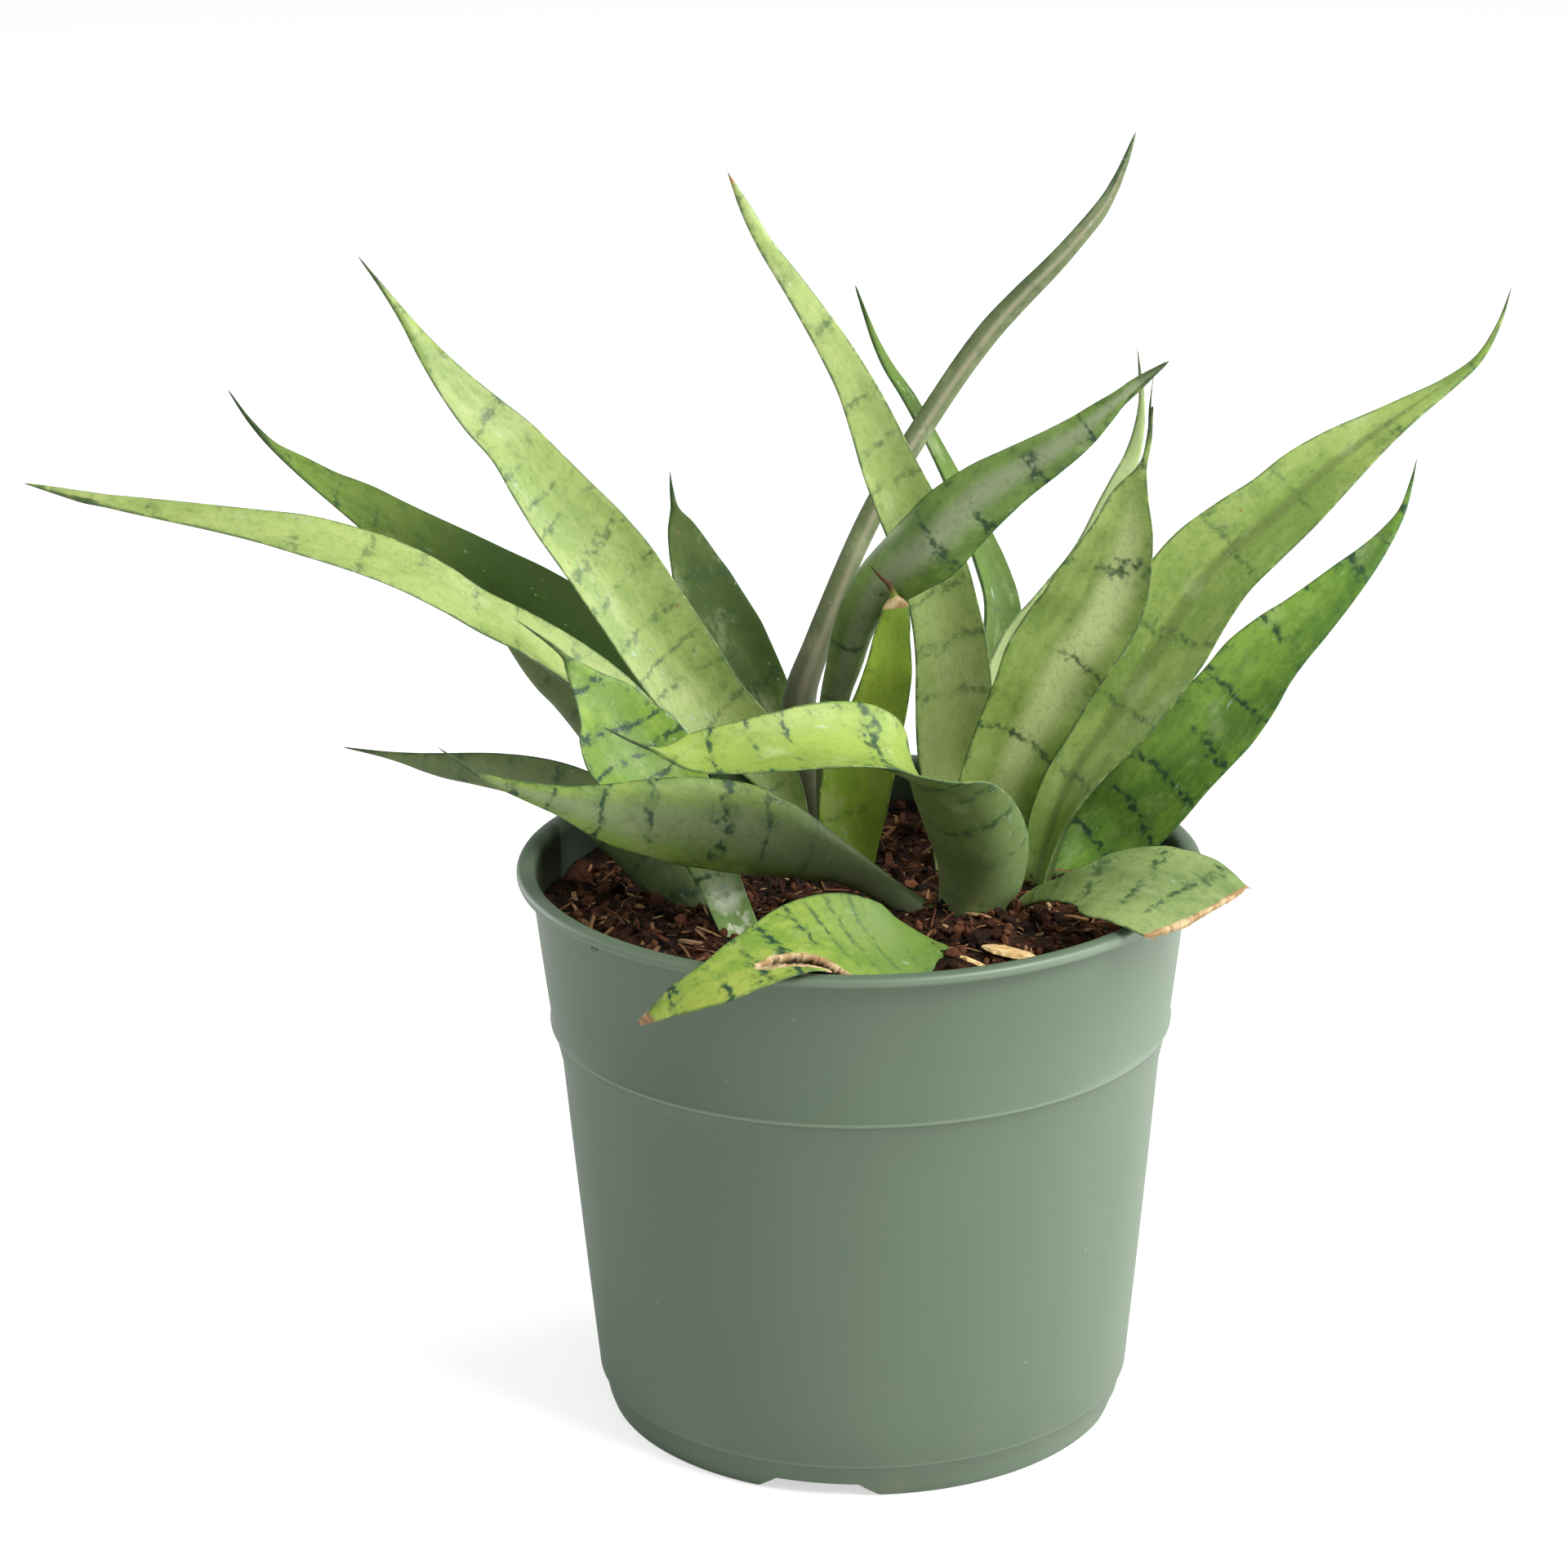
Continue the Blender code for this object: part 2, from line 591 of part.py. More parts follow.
def chipMesh(name, chip):
    length, width, thickness = (value * MM for value in chip["size"])
    outline = [(-0.50, -0.30), (-0.10, -0.50), (0.42, -0.34), (0.50, 0.10), (0.10, 0.28), (-0.38, 0.50)]
    angle = math.radians(chip["turn"])
    low = soilTop + restGap
    points = []
    for height, scale in ((low, 1.0), (low + thickness, 0.86)):
        for u, v in outline:
            x = u * length * scale
            y = v * width * scale
            points.append(
                (
                    chip["at"][0] * MM + x * math.cos(angle) - y * math.sin(angle),
                    chip["at"][1] * MM + x * math.sin(angle) + y * math.cos(angle),
                    height + 0.25 * u * thickness * (scale < 1.0),
                )
            )
    count = len(outline)
    faces = [list(range(count)), [count + j for j in range(count)]]
    for j in range(count):
        after = (j + 1) % count
        faces.append([j, after, count + after, count + j])
    return meshFrom(name, points, faces)


for name, chip in chips.items():
    addPart(name, chipMesh(name, chip), "wood_chip")
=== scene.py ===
import json
import math
import random

import bmesh
import bpy
import numpy as np
from mathutils import Matrix, Vector, noise


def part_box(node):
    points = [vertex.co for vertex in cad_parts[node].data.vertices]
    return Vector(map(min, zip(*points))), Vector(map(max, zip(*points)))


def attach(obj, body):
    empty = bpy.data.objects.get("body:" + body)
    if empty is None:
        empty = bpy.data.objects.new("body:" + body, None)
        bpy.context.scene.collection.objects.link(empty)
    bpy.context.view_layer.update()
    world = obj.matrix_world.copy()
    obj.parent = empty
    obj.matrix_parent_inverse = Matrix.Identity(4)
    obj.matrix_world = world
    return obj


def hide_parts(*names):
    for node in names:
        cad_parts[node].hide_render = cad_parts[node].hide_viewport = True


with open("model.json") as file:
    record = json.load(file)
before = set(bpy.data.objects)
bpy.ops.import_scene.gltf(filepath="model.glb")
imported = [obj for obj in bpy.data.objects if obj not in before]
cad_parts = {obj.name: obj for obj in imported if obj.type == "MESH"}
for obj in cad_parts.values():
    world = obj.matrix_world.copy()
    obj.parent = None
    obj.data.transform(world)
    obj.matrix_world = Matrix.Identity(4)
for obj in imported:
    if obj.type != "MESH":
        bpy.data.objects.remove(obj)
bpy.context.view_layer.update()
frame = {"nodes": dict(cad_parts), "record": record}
nodes = frame["nodes"]
mm = 0.001
print("frame loaded:", len(nodes), "nodes")


# One output socket, so that masks and amounts can be written as sums.
class Wire:
    def __init__(self, tree, socket):
        self.tree = tree
        self.socket = socket

    def maths(self, operation, first, second=None, third=None, clamp=False):
        values = {}
        for index, value in enumerate((first, second, third)):
            if value is not None:
                values[index] = value
        settings = {"operation": operation, "use_clamp": clamp}
        return addNode(self.tree, "Math", settings, values)

    def __add__(self, other):
        return self.maths("ADD", self, other)

    def __radd__(self, other):
        return self.maths("ADD", other, self)

    def __sub__(self, other):
        return self.maths("SUBTRACT", self, other)

    def __rsub__(self, other):
        return self.maths("SUBTRACT", other, self)

    def __mul__(self, other):
        return self.maths("MULTIPLY", self, other)

    def __rmul__(self, other):
        return self.maths("MULTIPLY", other, self)

    def __truediv__(self, other):
        return self.maths("DIVIDE", self, other)

    def __rtruediv__(self, other):
        return self.maths("DIVIDE", other, self)

    def __pow__(self, other):
        return self.maths("POWER", self, other)

    def __abs__(self):
        return self.maths("ABSOLUTE", self)

    def fraction(self):
        return self.maths("FRACT", self)

    def clamped(self):
        return self.maths("ADD", self, 0.0, clamp=True)

    # 0 up to low, 1 from high, or the other way round where low is the larger
    def step(self, low, high):
        settings = {"interpolation_type": "SMOOTHSTEP", "clamp": True}
        if low < high:
            return addNode(self.tree, "MapRange", settings, {0: self, 1: low, 2: high, 3: 0.0, 4: 1.0})
        return addNode(self.tree, "MapRange", settings, {0: self, 1: high, 2: low, 3: 1.0, 4: 0.0})


def setSocket(tree, socket, value):
    if isinstance(value, Wire):
        tree.links.new(value.socket, socket)
    elif socket.type == "RGBA" and len(value) == 3:
        socket.default_value = (*value, 1.0)
    else:
        socket.default_value = value


def addNode(tree, kind, settings=None, sockets=None, out=0):
    node = tree.nodes.new("ShaderNode" + kind)
    for name, value in (settings or {}).items():
        setattr(node, name, value)
    for name, value in (sockets or {}).items():
        setSocket(tree, node.inputs[name], value)
    return Wire(tree, node.outputs[out])


def mixColour(tree, amount, first, second, blend="MIX"):
    settings = {"data_type": "RGBA", "blend_type": blend, "clamp_factor": True}
    return addNode(tree, "Mix", settings, {0: amount, 6: first, 7: second}, out=2)


def scaled(tree, vector, scale):
    return addNode(tree, "VectorMath", {"operation": "MULTIPLY"}, {0: vector, 1: scale})


def noiseAt(tree, vector, scale=1.0, detail=3.0, roughness=0.55):
    sockets = {"Vector": vector, "Scale": scale, "Detail": detail, "Roughness": roughness}
    return addNode(tree, "TexNoise", {}, sockets)


def attribute(tree, name, out="Vector"):
    return addNode(tree, "Attribute", {"attribute_name": name}, out=out)


def separate(tree, vector):
    node = tree.nodes.new("ShaderNodeSeparateXYZ")
    setSocket(tree, node.inputs[0], vector)
    return [Wire(tree, output) for output in node.outputs]


def newMaterial(name):
    material = bpy.data.materials.new(name)
    material.use_nodes = True
    return material, material.node_tree


def finishShader(tree, colour, roughness, height=None, bumpDistance=0.0001, bumpStrength=1.0, fixed=None):
    shader = tree.nodes["Principled BSDF"]
    setSocket(tree, shader.inputs["Base Color"], colour)
    setSocket(tree, shader.inputs["Roughness"], roughness)
    for name, value in (fixed or {}).items():
        shader.inputs[name].default_value = value
    if height is not None:
        sockets = {"Height": height, "Strength": bumpStrength, "Distance": bumpDistance}
        bump = addNode(tree, "Bump", {}, sockets)
        setSocket(tree, shader.inputs["Normal"], bump)


def addPiece(name, points, faces, material, slot, replaced=(), smooth=True):
    mesh = bpy.data.meshes.new(name)
    mesh.from_pydata([tuple(point) for point in points], [], faces)
    mesh.materials.append(material)
    for polygon in mesh.polygons:
        polygon.use_smooth = smooth
    piece = bpy.data.objects.new(name, mesh)
    bpy.context.scene.collection.objects.link(piece)
    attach(piece, "root")
    if replaced:
        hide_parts(*replaced)
    return piece


def vectorAttribute(piece, name, values):
    data = piece.data.attributes.new(name, "FLOAT_VECTOR", "POINT")
    data.data.foreach_set("vector", np.asarray(values, dtype=np.float32).ravel())


def floatAttribute(piece, name, values):
    data = piece.data.attributes.new(name, "FLOAT", "POINT")
    data.data.foreach_set("value", np.asarray(values, dtype=np.float32).ravel())


# The faces of a closed tube of rings, each with the same number of corners
def tubeFaces(rings, corners, first=0):
    last = first + (rings - 1) * corners
    faces = [tuple(range(first, first + corners)), tuple(range(last + corners - 1, last - 1, -1))]
    for ring in range(rings - 1):
        start = first + ring * corners
        for corner in range(corners):
            after = (corner + 1) % corners
            faces.append((start + corner, start + corners + corner, start + corners + after, start + after))
    return faces


# A smooth line through values at knots, read at other places. Values may have any shape after the first axis.
def smoothThrough(knots, values, places):
    values = np.asarray(values, dtype=float)
    slopes = np.gradient(values, knots, axis=0)
    index = np.clip(np.searchsorted(knots, places, side="right") - 1, 0, len(knots) - 2)
    span = knots[index + 1] - knots[index]
    part = (places - knots[index]) / span
    shape = (-1,) + (1,) * (values.ndim - 1)
    part, span = part.reshape(shape), span.reshape(shape)
    squared, cubed = part**2, part**3
    return (
        (2 * cubed - 3 * squared + 1) * values[index]
        + (cubed - 2 * squared + part) * span * slopes[index]
        + (3 * squared - 2 * cubed) * values[index + 1]
        + (cubed - squared) * span * slopes[index + 1]
    )


def unit(vectors):
    return vectors / np.maximum(np.linalg.norm(vectors, axis=-1, keepdims=True), 1e-12)


def noiseLine(places, frequency, seed):
    return np.array([noise.noise(Vector((place * frequency, seed, 0.37))) for place in places])


view = {
    "place": (0.0, -0.927, 0.4572),
    "yaw": -0.0193,
    "pitch": 0.3132,
    "roll": -0.0127,
    "lens": 93.4,
    "sensor": 36.0,
}


def addCamera():
    data = bpy.data.cameras.new("camera")
    data.lens = view["lens"]
    data.sensor_width = view["sensor"]
    data.clip_start = 0.05
    data.clip_end = 60.0
    camera = bpy.data.objects.new("camera", data)
    turn = (
        Matrix.Rotation(-view["yaw"], 4, "Z")
        @ Matrix.Rotation(math.pi / 2 - view["pitch"], 4, "X")
        @ Matrix.Rotation(view["roll"], 4, "Z")
    )
    camera.matrix_world = Matrix.Translation(view["place"]) @ turn
    bpy.context.scene.collection.objects.link(camera)
    bpy.context.scene.camera = camera


studio = {
    "floorSize": 14.0,
    "floorColour": (0.80, 0.80, 0.79),
    "floorGlow": 0.60,
    "worldColour": (1.0, 1.0, 1.0),
    "worldStrength": 0.42,
    "lamps": {
        "key": {"place": (1.05, -0.75, 1.35), "size": 0.8, "power": 29.0, "colour": (1.0, 0.985, 0.955)},
        "right_wall": {"place": (1.4, 0.45, 0.42), "size": 1.2, "power": 26.0, "colour": (1.0, 1.0, 1.0)},
        "left_fill": {"place": (-1.3, 0.9, 0.4), "size": 0.9, "power": 9.0, "colour": (0.97, 0.98, 1.0)},
    },
    "aim": (0.0, 0.0, 0.14),
}


def addStudio():
    bpy.context.scene.view_settings.view_transform = "Standard"
    size = studio["floorSize"]
    mesh = bpy.data.meshes.new("floor")
    corners = [(-size, -size, 0.0), (size, -size, 0.0), (size, size, 0.0), (-size, size, 0.0)]
    mesh.from_pydata(corners, [], [(0, 1, 2, 3)])
    floor = bpy.data.objects.new("floor", mesh)
    bpy.context.scene.collection.objects.link(floor)
    material, tree = newMaterial("white_sweep")
    # seen straight on, the sweep is burnt out to white, while it lights the plant only as white card does
    glow = addNode(tree, "Emission", {}, {"Color": (1.0, 1.0, 1.0), "Strength": studio["floorGlow"]})
    card = addNode(tree, "BsdfDiffuse", {}, {"Color": studio["floorColour"]})
    both = addNode(tree, "AddShader", {}, {0: glow, 1: card})
    seen = addNode(tree, "LightPath", {}, {}, out="Is Camera Ray")
    mixed = addNode(tree, "MixShader", {}, {0: seen, 1: card, 2: both})
    setSocket(tree, tree.nodes["Material Output"].inputs["Surface"], mixed)
    mesh.materials.append(material)

    world = bpy.data.worlds.new("studio")
    world.use_nodes = True
    background = world.node_tree.nodes["Background"]
    background.inputs["Color"].default_value = (*studio["worldColour"], 1.0)
    background.inputs["Strength"].default_value = studio["worldStrength"]
    bpy.context.scene.world = world

    for name, lamp in studio["lamps"].items():
        data = bpy.data.lights.new(name, "AREA")
        data.shape = "SQUARE"
        data.size = lamp["size"]
        data.energy = lamp["power"]
        data.color = lamp["colour"]
        light = bpy.data.objects.new(name, data)
        light.location = lamp["place"]
        toAim = Vector(studio["aim"]) - Vector(lamp["place"])
        light.rotation_euler = toAim.to_track_quat("-Z", "Y").to_euler()
        bpy.context.scene.collection.objects.link(light)


addCamera()
addStudio()
print("camera and studio done")


potLook = {
    "steps": 288,
    "ridgeHeight": 99.7 * mm,
    "footHighlightLine": 8.8 * mm,
    "lipSag": 0.8 * mm,
    "lipSagWidth": 0.75,
    "ridge": 0.45 * mm,
    "drains": 4,
    "drainTurn": math.radians(-100),
    "drainHeight": 3.7 * mm,
    "drainTop": 19.4 * mm,
    "drainFoot": 30.0 * mm,
    "drainDepth": 13.0 * mm,
    "drainHole": 3.5 * mm,
    "wall": 1.2 * mm,
    "colour": (0.128, 0.188, 0.124),
    "shade": (0.112, 0.166, 0.110),
    "dust": (0.42, 0.45, 0.38),
    # the colour of the painted highlight lines along the pot's edges
    "edge": (0.36, 0.46, 0.33),
    "nibTurn": math.radians(-139.5),
    "nibSize": 1.8 * mm,
}


def potMaterial():
    material, tree = newMaterial("pot_plastic_moulded")
    place = addNode(tree, "TexCoord", {}, out="Object")
    x, y, z = separate(tree, place)
    cloud = noiseAt(tree, scaled(tree, place, (9.0, 9.0, 5.0)), 1.0, 3.0, 0.5)
    streak = noiseAt(tree, scaled(tree, place, (60.0, 60.0, 9.0)), 1.0, 3.0, 0.55)
    colour = mixColour(tree, (cloud * 0.7 + streak * 0.3).step(0.3, 0.7), potLook["shade"], potLook["colour"])
    # dust and small white scuffs
    grit = noiseAt(tree, place, 620.0, 2.0, 0.6)
    patch = noiseAt(tree, place, 38.0, 3.0, 0.6)
    specks = grit.step(0.735, 0.77) * patch.step(0.42, 0.62)
    scratches = noiseAt(tree, scaled(tree, place, (900.0, 900.0, 120.0)), 1.0, 2.0, 0.5)
    scuffs = scratches.step(0.76, 0.80) * patch.step(0.52, 0.66)
    colour = mixColour(tree, (specks + scuffs * 0.6).clamped() * 0.55, colour, potLook["dust"])
    # a film of dried mix low on the wall and under the lip
    film = noiseAt(tree, scaled(tree, place, (30.0, 30.0, 55.0)), 1.0, 4.0, 0.62)
    low = z.step(0.024, 0.0)
    colour = mixColour(tree, film.step(0.52, 0.75) * (low * 0.45 + 0.06), colour, (0.22, 0.21, 0.16))
    # painted highlights: pale lines along the lip, the collar's foot and the foot band, where the edges catch
    # the light
    low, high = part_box("pot")
    radius = (x * x + y * y) ** 0.5
    lipHighlight = radius.step(high[0] - 0.9 * mm, high[0] - 0.2 * mm)
    lipHighlight = lipHighlight * z.step(high[2] - 3.4 * mm, high[2] - 2.0 * mm)
    ridgeHighlight = abs(z - potLook["ridgeHeight"]).step(0.55 * mm, 0.15 * mm)
    footHighlightLine = abs(z - potLook["footHighlightLine"]).step(0.5 * mm, 0.15 * mm)
    paintedHighlight = (lipHighlight * 0.22 + ridgeHighlight * 0.30 + footHighlightLine * 0.2).clamped()
    colour = mixColour(tree, paintedHighlight, colour, potLook["edge"])
    # painted shadow: a dark line just under the collar's foot, where the step turns away from the light
    under = abs(z - potLook["ridgeHeight"] + 0.9 * mm).step(0.5 * mm, 0.1 * mm)
    colour = mixColour(tree, under * 0.35, colour, (0.05, 0.07, 0.045))
    # painted shade: the inside wall, from the rim down about 30 mm, is darkened toward near black, standing
    # in for the shade inside the pot
    ridgeRadius, lipRadius = high[0] - 7.1 * mm, high[0] - 3.5 * mm
    slope = (lipRadius - ridgeRadius) / (high[2] - 3.0 * mm - potLook["ridgeHeight"])
    wallLine = (z - potLook["ridgeHeight"]) * slope + ridgeRadius
    inside = (wallLine - radius).step(0.55 * mm, 0.95 * mm) * z.step(high[2] - 34 * mm, high[2] - 30 * mm)
    inside = inside * z.step(high[2] - 0.8 * mm, high[2] - 4.0 * mm)
    colour = mixColour(tree, inside * 0.7, colour, (0.022, 0.026, 0.018))
    roughness = 0.37 + cloud * 0.10 + specks * 0.25
    ripple = noiseAt(tree, scaled(tree, place, (26.0, 26.0, 8.0)), 1.0, 2.0, 0.5)
    grain = noiseAt(tree, place, 1500.0, 2.0, 0.5)
    height = ripple * 3.0 + grain * 0.22 + specks * 0.8
    finishShader(tree, colour, roughness, height, 0.00006, 1.0, {"Specular IOR Level": 0.55, "IOR": 1.5})
    return material


# outer radius of the wall at each height, read from the CAD pot
def wallReader(node):
    points = np.array([vertex.co[:] for vertex in node.data.vertices])
    radius = np.hypot(points[:, 0], points[:, 1])

    def outside(height):
        near = np.abs(points[:, 2] - height) < 0.05 * mm
        return float(radius[near].max())

    heights = sorted(set(np.round(points[:, 2], 5)))
    return heights, outside


def makePot():
    low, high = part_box("pot")
    top = high[2]
    lip = high[0]
    heights, outside = wallReader(nodes["pot"])
    wall = potLook["wall"]
    ridge = potLook["ridge"]
    footBand = min(heights, key=lambda height: abs(height - 8.8 * mm))
    bodyTop = min(heights, key=lambda height: abs(height - 90.0 * mm))
    collarFoot = min(heights, key=lambda height: abs(height - 99.7 * mm))
    lipFoot = top - 2.9 * mm
    collarTop = lip - 3.5 * mm
    foot = outside(footBand)
    body = outside(bodyTop)
    collar = outside(collarFoot)
    base = outside(0.0)
    profile = [
        (0.0, 1.6 * mm),
        (base - 2.7 * mm, 1.6 * mm),
        (base - 1.0 * mm, 3.1 * mm),
        (foot - wall, footBand),
        (body - wall, bodyTop),
        (collar - wall, collarFoot),
        (collarTop - wall, lipFoot),
        (collarTop - 1.0 * mm, top - 1.2 * mm),
        (collarTop - 0.5 * mm, top - 0.5 * mm),
        (collarTop + 0.3 * mm, top - 0.1 * mm),
        (collarTop + 1.4 * mm, top),
        (lip - 1.0 * mm, top - 0.1 * mm),
        (lip - 0.3 * mm, top - 0.5 * mm),
        (lip, top - 1.2 * mm),
        (lip, top - 1.9 * mm),
        (lip - 0.2 * mm, top - 2.5 * mm),
        (lip - 0.8 * mm, lipFoot),
        (collarTop + 1.2 * mm, lipFoot + 0.1 * mm),
        (collarTop + 0.4 * mm, lipFoot - 0.3 * mm),
        (collarTop, lipFoot - 1.2 * mm),
        (collarTop * 0.5 + collar * 0.5 - 0.1 * mm, (lipFoot + collarFoot) / 2),
        (collar - ridge + 0.1 * mm, collarFoot + 1.3 * mm),
        (collar - 0.1 * mm, collarFoot + 0.7 * mm),
        (collar, collarFoot + 0.2 * mm),
        (collar - 0.1 * mm, collarFoot - 0.4 * mm),
        (collar - 0.9 * mm, collarFoot - 1.2 * mm),
        (collar - 1.6 * mm, collarFoot - 4.4 * mm),
        (body + 0.5 * mm, bodyTop + 2.4 * mm),
        (body, bodyTop + 0.2 * mm),
        (body * 0.67 + foot * 0.33 + 0.1 * mm, bodyTop * 0.67 + footBand * 0.33),
        (body * 0.33 + foot * 0.67 + 0.1 * mm, bodyTop * 0.33 + footBand * 0.67),
        (foot, footBand + 0.2 * mm),
        (foot - 0.2 * mm, footBand - 0.2 * mm),
        (foot - 0.7 * mm, footBand - 0.6 * mm),
        (base + 0.9 * mm, 2.4 * mm),
        (base + 0.2 * mm, 0.5 * mm),
        (base - 0.4 * mm, 0.05 * mm),
        (base - 1.0 * mm, 0.0),
        (0.0, 0.0),
    ]
    # short runs beside each bend keep the shading crisp
    fine = [profile[0]]
    for start, end in zip(profile, profile[1:]):
        count = max(1, int(math.dist(start, end) / (9.0 * mm)))
        for part in range(1, count + 1):
            share = part / count
            fine.append((start[0] + (end[0] - start[0]) * share, start[1] + (end[1] - start[1]) * share))
    steps = potLook["steps"]
    points = []
    faces = []
    rows = []
    for radius, height in fine:
        if radius < 1e-6:
            rows.append([len(points)])
            points.append((0.0, 0.0, height))
            continue
        row = []
        for step in range(steps):
            angle = 2 * math.pi * step / steps
            # the thin lip dips where the front leaves press on it
            fromFront = abs((angle + math.pi / 2 + math.pi) % (2 * math.pi) - math.pi)
            dip = potLook["lipSag"] * math.exp(-((fromFront / potLook["lipSagWidth"]) ** 2))
            share = max(0.0, (height - lipFoot + 14.0 * mm) / (14.0 * mm + top - lipFoot)) ** 2
            row.append(len(points))
            points.append((radius * math.cos(angle), radius * math.sin(angle), height - dip * share))
        rows.append(row)
    for first, second in zip(rows, rows[1:]):
        for step in range(steps):
            after = (step + 1) % steps
            if len(first) == 1:
                faces.append((first[0], second[after], second[step]))
            elif len(second) == 1:
                faces.append((first[step], first[after], second[0]))
            else:
                faces.append((first[step], first[after], second[after], second[step]))
    pot = addPiece("pot_moulded", points, faces, potMaterial(), "pot_plastic", ["pot"])
    shape = bmesh.new()
    shape.from_mesh(pot.data)
    bmesh.ops.recalc_face_normals(shape, faces=shape.faces)
    shape.to_mesh(pot.data)
    shape.free()
    cutDrains(pot, base, lip, top)
    return pot


def trapezoids(name, spread, near, far, low, high):
    shape = bmesh.new()
    slope = (potLook["drainFoot"] - potLook["drainTop"]) / 2 / potLook["drainHeight"]
    for place in range(potLook["drains"]):
        angle = potLook["drainTurn"] + place * 2 * math.pi / potLook["drains"]
        along = Vector((math.cos(angle), math.sin(angle), 0.0))
        across = Vector((-math.sin(angle), math.cos(angle), 0.0))
        corners = []
        for radius in (near, far):
            for height in (low, high):
                half = potLook["drainFoot"] / 2 + spread - slope * height
                for side in (-1, 1):
                    spot = along * radius + across * half * side + Vector((0, 0, height))
                    corners.append(shape.verts.new(spot))
        for face in ((0, 1, 3, 2), (4, 6, 7, 5), (0, 4, 5, 1), (2, 3, 7, 6), (0, 2, 6, 4), (1, 5, 7, 3)):
            shape.faces.new([corners[corner] for corner in face])
    bmesh.ops.recalc_face_normals(shape, faces=shape.faces)
    return cutterFrom(name, shape)


def cutterFrom(name, shape):
    mesh = bpy.data.meshes.new(name)
    shape.to_mesh(mesh)
    shape.free()
    cutter = bpy.data.objects.new(name, mesh)
    bpy.context.scene.collection.objects.link(cutter)
    return cutter


def cutDrains(pot, base, lip, top):
    wall = potLook["wall"]
    near = base - potLook["drainDepth"]
    height = potLook["drainHeight"]
    shell = trapezoids("shell", 2 * wall, near - wall, base, 0.2 * mm, height + wall)
    shape = bmesh.new()
    bmesh.ops.create_cone(shape, cap_ends=True, segments=96, radius1=base - wall / 2, radius2=base - wall / 2,
                          depth=20.0 * mm)
    foot = cutterFrom("foot", shape)
    within = shell.modifiers.new("within", "BOOLEAN")
    within.operation = "INTERSECT"
    within.solver = "EXACT"
    within.object = foot
    # the moulding nib hangs under the lip
    shape = bmesh.new()
    nib = potLook["nibSize"]
    bmesh.ops.create_icosphere(shape, subdivisions=3, radius=nib * 0.62)
    radius = lip - 3.5 * mm + 0.65 * nib
    turn = potLook["nibTurn"]
    bmesh.ops.translate(shape, verts=shape.verts,
                        vec=(radius * math.cos(turn), radius * math.sin(turn), top - 3.3 * mm - 0.4 * nib))
    nibLump = cutterFrom("nib", shape)
    space = trapezoids("space", 0.0, near, base + 20 * mm, -1.0 * mm, height)
    shape = bmesh.new()
    for place in range(potLook["drains"]):
        angle = potLook["drainTurn"] + place * 2 * math.pi / potLook["drains"]
        made = bmesh.ops.create_cone(shape, cap_ends=True, segments=32, radius1=potLook["drainHole"],
                                     radius2=potLook["drainHole"], depth=4.0 * mm)
        radius = near + potLook["drainDepth"] * 0.42
        bmesh.ops.translate(shape, verts=made["verts"],
                            vec=(radius * math.cos(angle), radius * math.sin(angle), height + 1.0 * mm))
    hole = cutterFrom("hole", shape)
    cuts = ((nibLump, "UNION"), (shell, "UNION"), (space, "DIFFERENCE"), (hole, "DIFFERENCE"))
    for cutter, operation in cuts:
        boolean = pot.modifiers.new(cutter.name, "BOOLEAN")
        boolean.operation = operation
        boolean.solver = "EXACT"
        boolean.object = cutter
    graph = bpy.context.evaluated_depsgraph_get()
    cut = bpy.data.meshes.new_from_object(pot.evaluated_get(graph))
    pot.modifiers.clear()
    pot.data = cut
    for cutter in (shell, space, hole, foot, nibLump):
        bpy.data.objects.remove(cutter, do_unlink=True)
    cut.set_sharp_from_angle(angle=math.radians(50))


makePot()
print("pot done")


soilLook = {
    "rings": 105,
    "spokes": 300,
    "lumps": ((28.0, 1.7), (75.0, 1.5), (190.0, 1.2), (420.0, 0.6)),
    "crumbs": 1700,
    "crumbSize": (0.6, 2.3),
    "chips": 1150,
    "chipLength": (1.8, 7.5),
    "fibres": 260,
    "fibreLength": (5.0, 17.0),
    "dark": (0.011, 0.0042, 0.0024),
    "brown": (0.110, 0.038, 0.018),
    "red": (0.210, 0.078, 0.036),
    "tan": (0.50, 0.27, 0.115),
    "pale": (0.80, 0.53, 0.27),
}
dice = random.Random(41)


def lumpHeight(x, y):
    height = 0.0
    for frequency, amount in soilLook["lumps"]:
        height += noise.noise(Vector((x * frequency, y * frequency, frequency))) * amount * mm
    near = noise.voronoi(Vector((x * 240.0, y * 240.0, 0.0)))[0][0]
    return height + (0.35 - near) * 1.1 * mm


def soilMaterial():
    material, tree = newMaterial("potting_mix_crumbly")
    place = addNode(tree, "TexCoord", {}, out="Object")
    tone = attribute(tree, "tone", "Fac")
    broad = noiseAt(tree, place, 95.0, 3.0, 0.6)
    fine = noiseAt(tree, place, 620.0, 4.0, 0.7)
    ground = mixColour(tree, (broad * 0.6 + fine * 0.4).step(0.43, 0.64), soilLook["dark"], soilLook["brown"])
    colour = mixColour(tree, tone.step(0.15, 0.45), ground, soilLook["red"])
    colour = mixColour(tree, tone.step(0.55, 0.8), colour, soilLook["tan"])
    colour = mixColour(tree, tone.step(0.86, 0.98), colour, soilLook["pale"])
    grain = noiseAt(tree, scaled(tree, place, (1.0, 1.0, 1.0)), 1300.0, 3.0, 0.7)
    shaded = mixColour(tree, 0.42, colour, (0.0, 0.0, 0.0))
    colour = mixColour(tree, grain.step(0.35, 0.65) * 0.5, shaded, colour)
    finishShader(tree, colour, 0.86, fine + grain * 0.6, 0.0005, 0.8, {"Specular IOR Level": 0.25})
    return material


